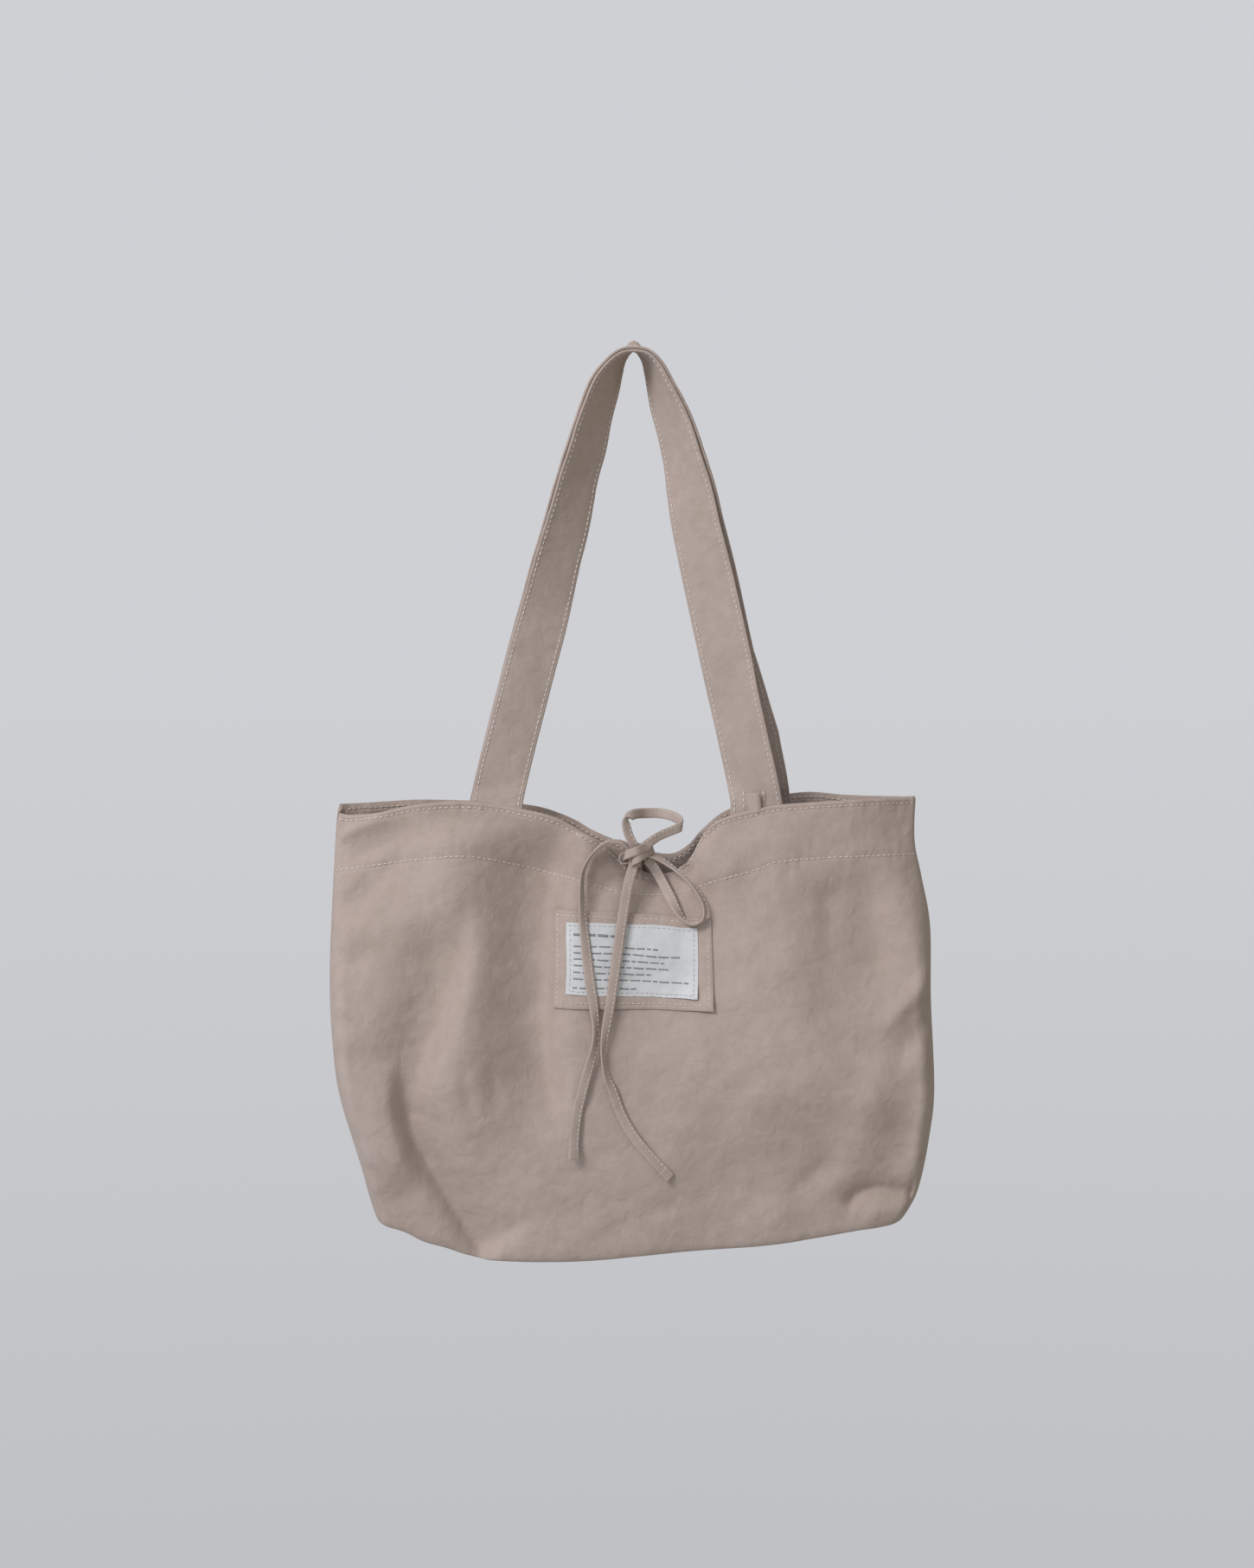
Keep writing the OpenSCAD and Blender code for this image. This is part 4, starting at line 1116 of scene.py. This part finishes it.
def tapeRings(line, wide, width=None, thick=None, steps=9, shrink=None):
    # Rings of a flat folded tape along a line; wide gives the direction of its width at each point.
    s = tieSet
    half, deep = (width or s["width"]) / 2, (thick or s["thick"]) / 2
    dense = spline(line, steps)
    across = spline(wide, steps)
    way = unitRows(np.gradient(dense, axis=0))
    w = unitRows(across - way * (across * way).sum(1)[:, None])
    t = np.cross(w, way)
    # A folded edge is round, the sewn edge is thinner, and the seam leaves a shallow groove.
    shape = [(-1, 0), (-0.96, 0.6), (-0.86, 0.95), (-0.5, 1.05), (0, 1.0), (0.4, 0.92), (0.58, 0.72),
        (0.75, 0.85), (0.93, 0.72), (1, 0.25),
        (1, -0.25), (0.93, -0.72), (0.75, -0.85), (0.58, -0.72), (0.4, -0.92), (0, -1.0), (-0.5, -1.05),
        (-0.86, -0.95), (-0.96, -0.6)]
    size = np.ones(len(dense)) if shrink is None else np.interp(np.linspace(0, 1, len(dense)),
        np.linspace(0, 1, len(shrink)), shrink)
    rings = np.stack([dense + w * (a * half * size)[:, None] + t * b * deep for a, b in shape], 1)
    lengths = np.concatenate([[0], np.cumsum(np.linalg.norm(np.diff(dense, axis=0), axis=1))])
    uv = np.stack([np.repeat(lengths[:, None], len(shape), 1),
        np.repeat(np.array([a * half + (8 if b < 0 else 0) for a, b in shape])[None, :], len(dense), 0)],
        -1) * mm
    seam = [dense + w * (0.58 * half * size)[:, None] + t * (sign * (0.72 * deep + 0.2)) for sign in (1, -1)]
    return rings, uv, dense, seam


def makeTape(name, line, wide, node=None, shrink=None, width=None, thick=None, sewn=True):
    rings, uv, dense, seam = tapeRings(line, wide, width, thick, shrink=shrink)
    piece = sweepPiece(name, rings * mm, tapeCloth, uv)
    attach(piece, "bag")
    if node:
        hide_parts(node)
    stitches = None
    if sewn:
        stitches = stitchPiece(name + "_stitches", seam, creamThread, 3.0, 2.1, 0.6)
        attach(stitches, "bag")
    return piece, dense, stitches


def declareCord(piece, dense):
    run = np.linalg.norm(np.diff(dense, axis=0), axis=1).sum()
    print(piece.name, "runs", round(float(run), 1), "mm")


def tailEnd(name, node, dense, wide):
    # The end of a tail, folded back on itself, as a short thicker length of tape.
    way = dense[-1] - dense[-4]
    way = way / np.linalg.norm(way)
    line = [dense[-1] - way * 6 + [0, -0.2, 0], dense[-1] - way * 2 + [0, -0.2, 0],
        dense[-1] + way * 1.2 + [0, -0.1, 0]]
    rings, uv, path, seam = tapeRings(line, [wide] * 3, tieSet["width"] + 0.5, tieSet["thick"] + 1.0, 6)
    piece = sweepPiece(name, rings * mm, tapeCloth, uv)
    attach(piece, "bag")
    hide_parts(node)
    return piece


for name, route in routes.items():
    line, wide = lie([p for p, w in route]), [w for p, w in route]
    piece, dense, stitches = makeTape(name + "_tape", line, wide, name)
    if name.endswith("tail"):
        tailEnd(name + "_fold", name + "_end", dense, wide[-1])
    declareCord(piece, dense)

# The knot: short bands of the same tape wrapped round each other.
knotSet = {
    "core": [[(-0.002, 0.006, -0.034), (0, 0, 1)], [(0.004, 0.0075, -0.033), (0, 0, 1)],
    [(0.010, 0.006, -0.031), (0, 0, 1)]],
    "upper": [[(-0.0042, 0.0045, -0.0375), (0.3, 0.3, 1)], [(-0.006, 0.008, -0.0355), (0.3, 0.2, 1)],
    [(-0.0035, 0.0115, -0.0335), (0.1, 0, 1)],
        [(0.002, 0.0135, -0.0315), (-0.1, 0, 1)], [(0.008, 0.0132, -0.0295), (-0.2, 0, 1)],
        [(0.0115, 0.0105, -0.028), (-0.2, 0, 1)], [(0.012, 0.006, -0.0285), (-0.2, 0, 1)]],
    "lower": [[(-0.0005, 0.006, -0.0405), (0.1, 0, 1)], [(-0.0008, 0.0105, -0.0385), (0, 0, 1)],
    [(0.0035, 0.013, -0.036), (-0.2, 0, 1)],
        [(0.009, 0.012, -0.0325), (-0.3, 0, 1)], [(0.0125, 0.008, -0.0305), (-0.3, 0, 1)]],
    "curl": [[(-0.0045, 0.0065, -0.0335), (0, 1, 0.2)], [(-0.008, 0.007, -0.0335), (0, 1, 0)],
    [(-0.0095, 0.007, -0.037), (0, 1, 0)],
        [(-0.0075, 0.007, -0.0398), (0, 1, 0)], [(-0.004, 0.0065, -0.0395), (0, 1, 0)]],
}
for name, route in knotSet.items():
    line, wide = lie([p for p, w in route]), [w for p, w in route]
    width = {"core": 8.5, "upper": 5.6, "lower": 5.4, "curl": 4.6}[name]
    makeTape("bow_knot_" + name, line, wide, "bow_knot" if name == "core" else None, width=width,
        thick=3.6 if name == "core" else 1.1, sewn=False)

# The two ties come up from inside the hems, over the rims, to the knot.
tieX = 2
frontTop, backTop = float(rimLine[frontSide](tieX)), float(rimLine[backSide](tieX))
frontY = float(surfaceY(tieX, frontTop - 8, frontSide, fine=False)) + bodySet["cloth"] * 2 + 1.4
backY = float(surfaceY(tieX, backTop - 8, backSide, fine=False)) - bodySet["cloth"] * 2 - 1.4
knotY = float(lie([(0.004, 0.0075, -0.034)])[0, 1])
frontLine = [(tieX, frontY, frontTop - 20), (tieX, frontY, frontTop - 10), (tieX, frontY - 0.3, frontTop - 1),
    (tieX, frontY - 3, frontTop + 5), (tieX, knotY + 2, -325)]
backLine = [(tieX, backY, backTop - 20), (tieX, backY, backTop - 10), (tieX, backY, backTop - 3),
    (tieX, backY - 5, backTop + 2),
    (tieX, 0, backTop - 0.5), (tieX, knotY + 6, -321.5), (tieX, knotY + 1.5, -322.5)]
makeTape("front_tie_tape", frontLine, [(1, 0, 0)] * len(frontLine), "front_tie")
backTie, dense, stitches = makeTape("back_tie_tape", backLine, [(1, 0, 0)] * len(backLine), "back_tie")
declareCord(backTie, dense)
print("ties made")

# Light and setting.
lightSet = {
    "key": {"place": (-1.75, -2.0, 1.35), "size": 1.1, "power": 54, "colour": (0.93, 0.97, 1.0)},
    "skyHigh": (0.625, 0.63, 0.66, 1), "skyLow": (0.52, 0.525, 0.55, 1),
    "window": (0.60, 0.64, 0.735, 1), "room": (0.265, 0.262, 0.185, 1), "towards": (-0.62, -0.55, 0.56),
    "floorZ": -1.35, "floorRadius": 1.3, "floorTone": (0.62, 0.62, 0.62, 1),
}


def makeLight(name, s, target):
    data = bpy.data.lights.new(name, "AREA")
    data.size = s["size"]
    data.energy = s["power"]
    data.color = s["colour"]
    lamp = bpy.data.objects.new(name, data)
    lamp.location = s["place"]
    lamp.rotation_euler = (Vector(target) - Vector(s["place"])).to_track_quat("-Z", "Y").to_euler()
    bpy.context.collection.objects.link(lamp)


def makeWorld(s):
    world = bpy.data.worlds.new("studio")
    bpy.context.scene.world = world
    world.use_nodes = True
    tree = world.node_tree
    tree.nodes.clear()
    out = addNode(tree, "ShaderNodeOutputWorld")
    place = addNode(tree, "ShaderNodeTexCoord")
    up = addNode(tree, "ShaderNodeSeparateXYZ", {0: place.outputs["Generated"]})
    share = addNode(tree, "ShaderNodeMapRange", {"Value": up.outputs[2], "From Min": -0.34, "From Max": 0.05})
    seen = addNode(tree, "ShaderNodeMix", {0: share.outputs[0], 6: s["skyLow"], 7: s["skyHigh"]},
        data_type="RGBA")
    # The light itself comes from a window side and a dimmer, warmer room side.
    turned = addNode(tree, "ShaderNodeVectorMath", {0: place.outputs["Generated"], 1: s["towards"]},
        operation="DOT_PRODUCT")
    side = addNode(tree, "ShaderNodeMapRange",
        {"Value": turned.outputs["Value"], "From Min": -0.35, "From Max": 0.75})
    cast = addNode(tree, "ShaderNodeMix", {0: side.outputs[0], 6: s["room"], 7: s["window"]},
        data_type="RGBA")
    ray = addNode(tree, "ShaderNodeLightPath")
    colour = addNode(tree, "ShaderNodeMix", {0: ray.outputs["Is Camera Ray"], 6: cast.outputs[2],
        7: seen.outputs[2]}, data_type="RGBA")
    glow = addNode(tree, "ShaderNodeBackground", {"Color": colour.outputs[2]})
    tree.links.new(glow.outputs[0], out.inputs[0])


def makeFloor(s):
    turns = np.linspace(0, 2 * np.pi, 96, endpoint=False)
    ring = np.column_stack([np.cos(turns) * s["floorRadius"], np.sin(turns) * s["floorRadius"],
        np.full(96, s["floorZ"])])
    material, tree = nodeTree("pale_floor")
    out = addNode(tree, "ShaderNodeOutputMaterial")
    shade = addNode(tree, "ShaderNodeBsdfPrincipled", {"Base Color": s["floorTone"], "Roughness": 0.8})
    tree.links.new(shade.outputs[0], out.inputs[0])
    floor = newPiece("floor", ring, [list(range(96))], material, smooth=False, closed=False)


makeLight("key", lightSet["key"], (0, 0, -0.33))
makeWorld(lightSet)
makeFloor(lightSet)
bpy.context.scene.view_settings.view_transform = "Standard"
print("setting made")
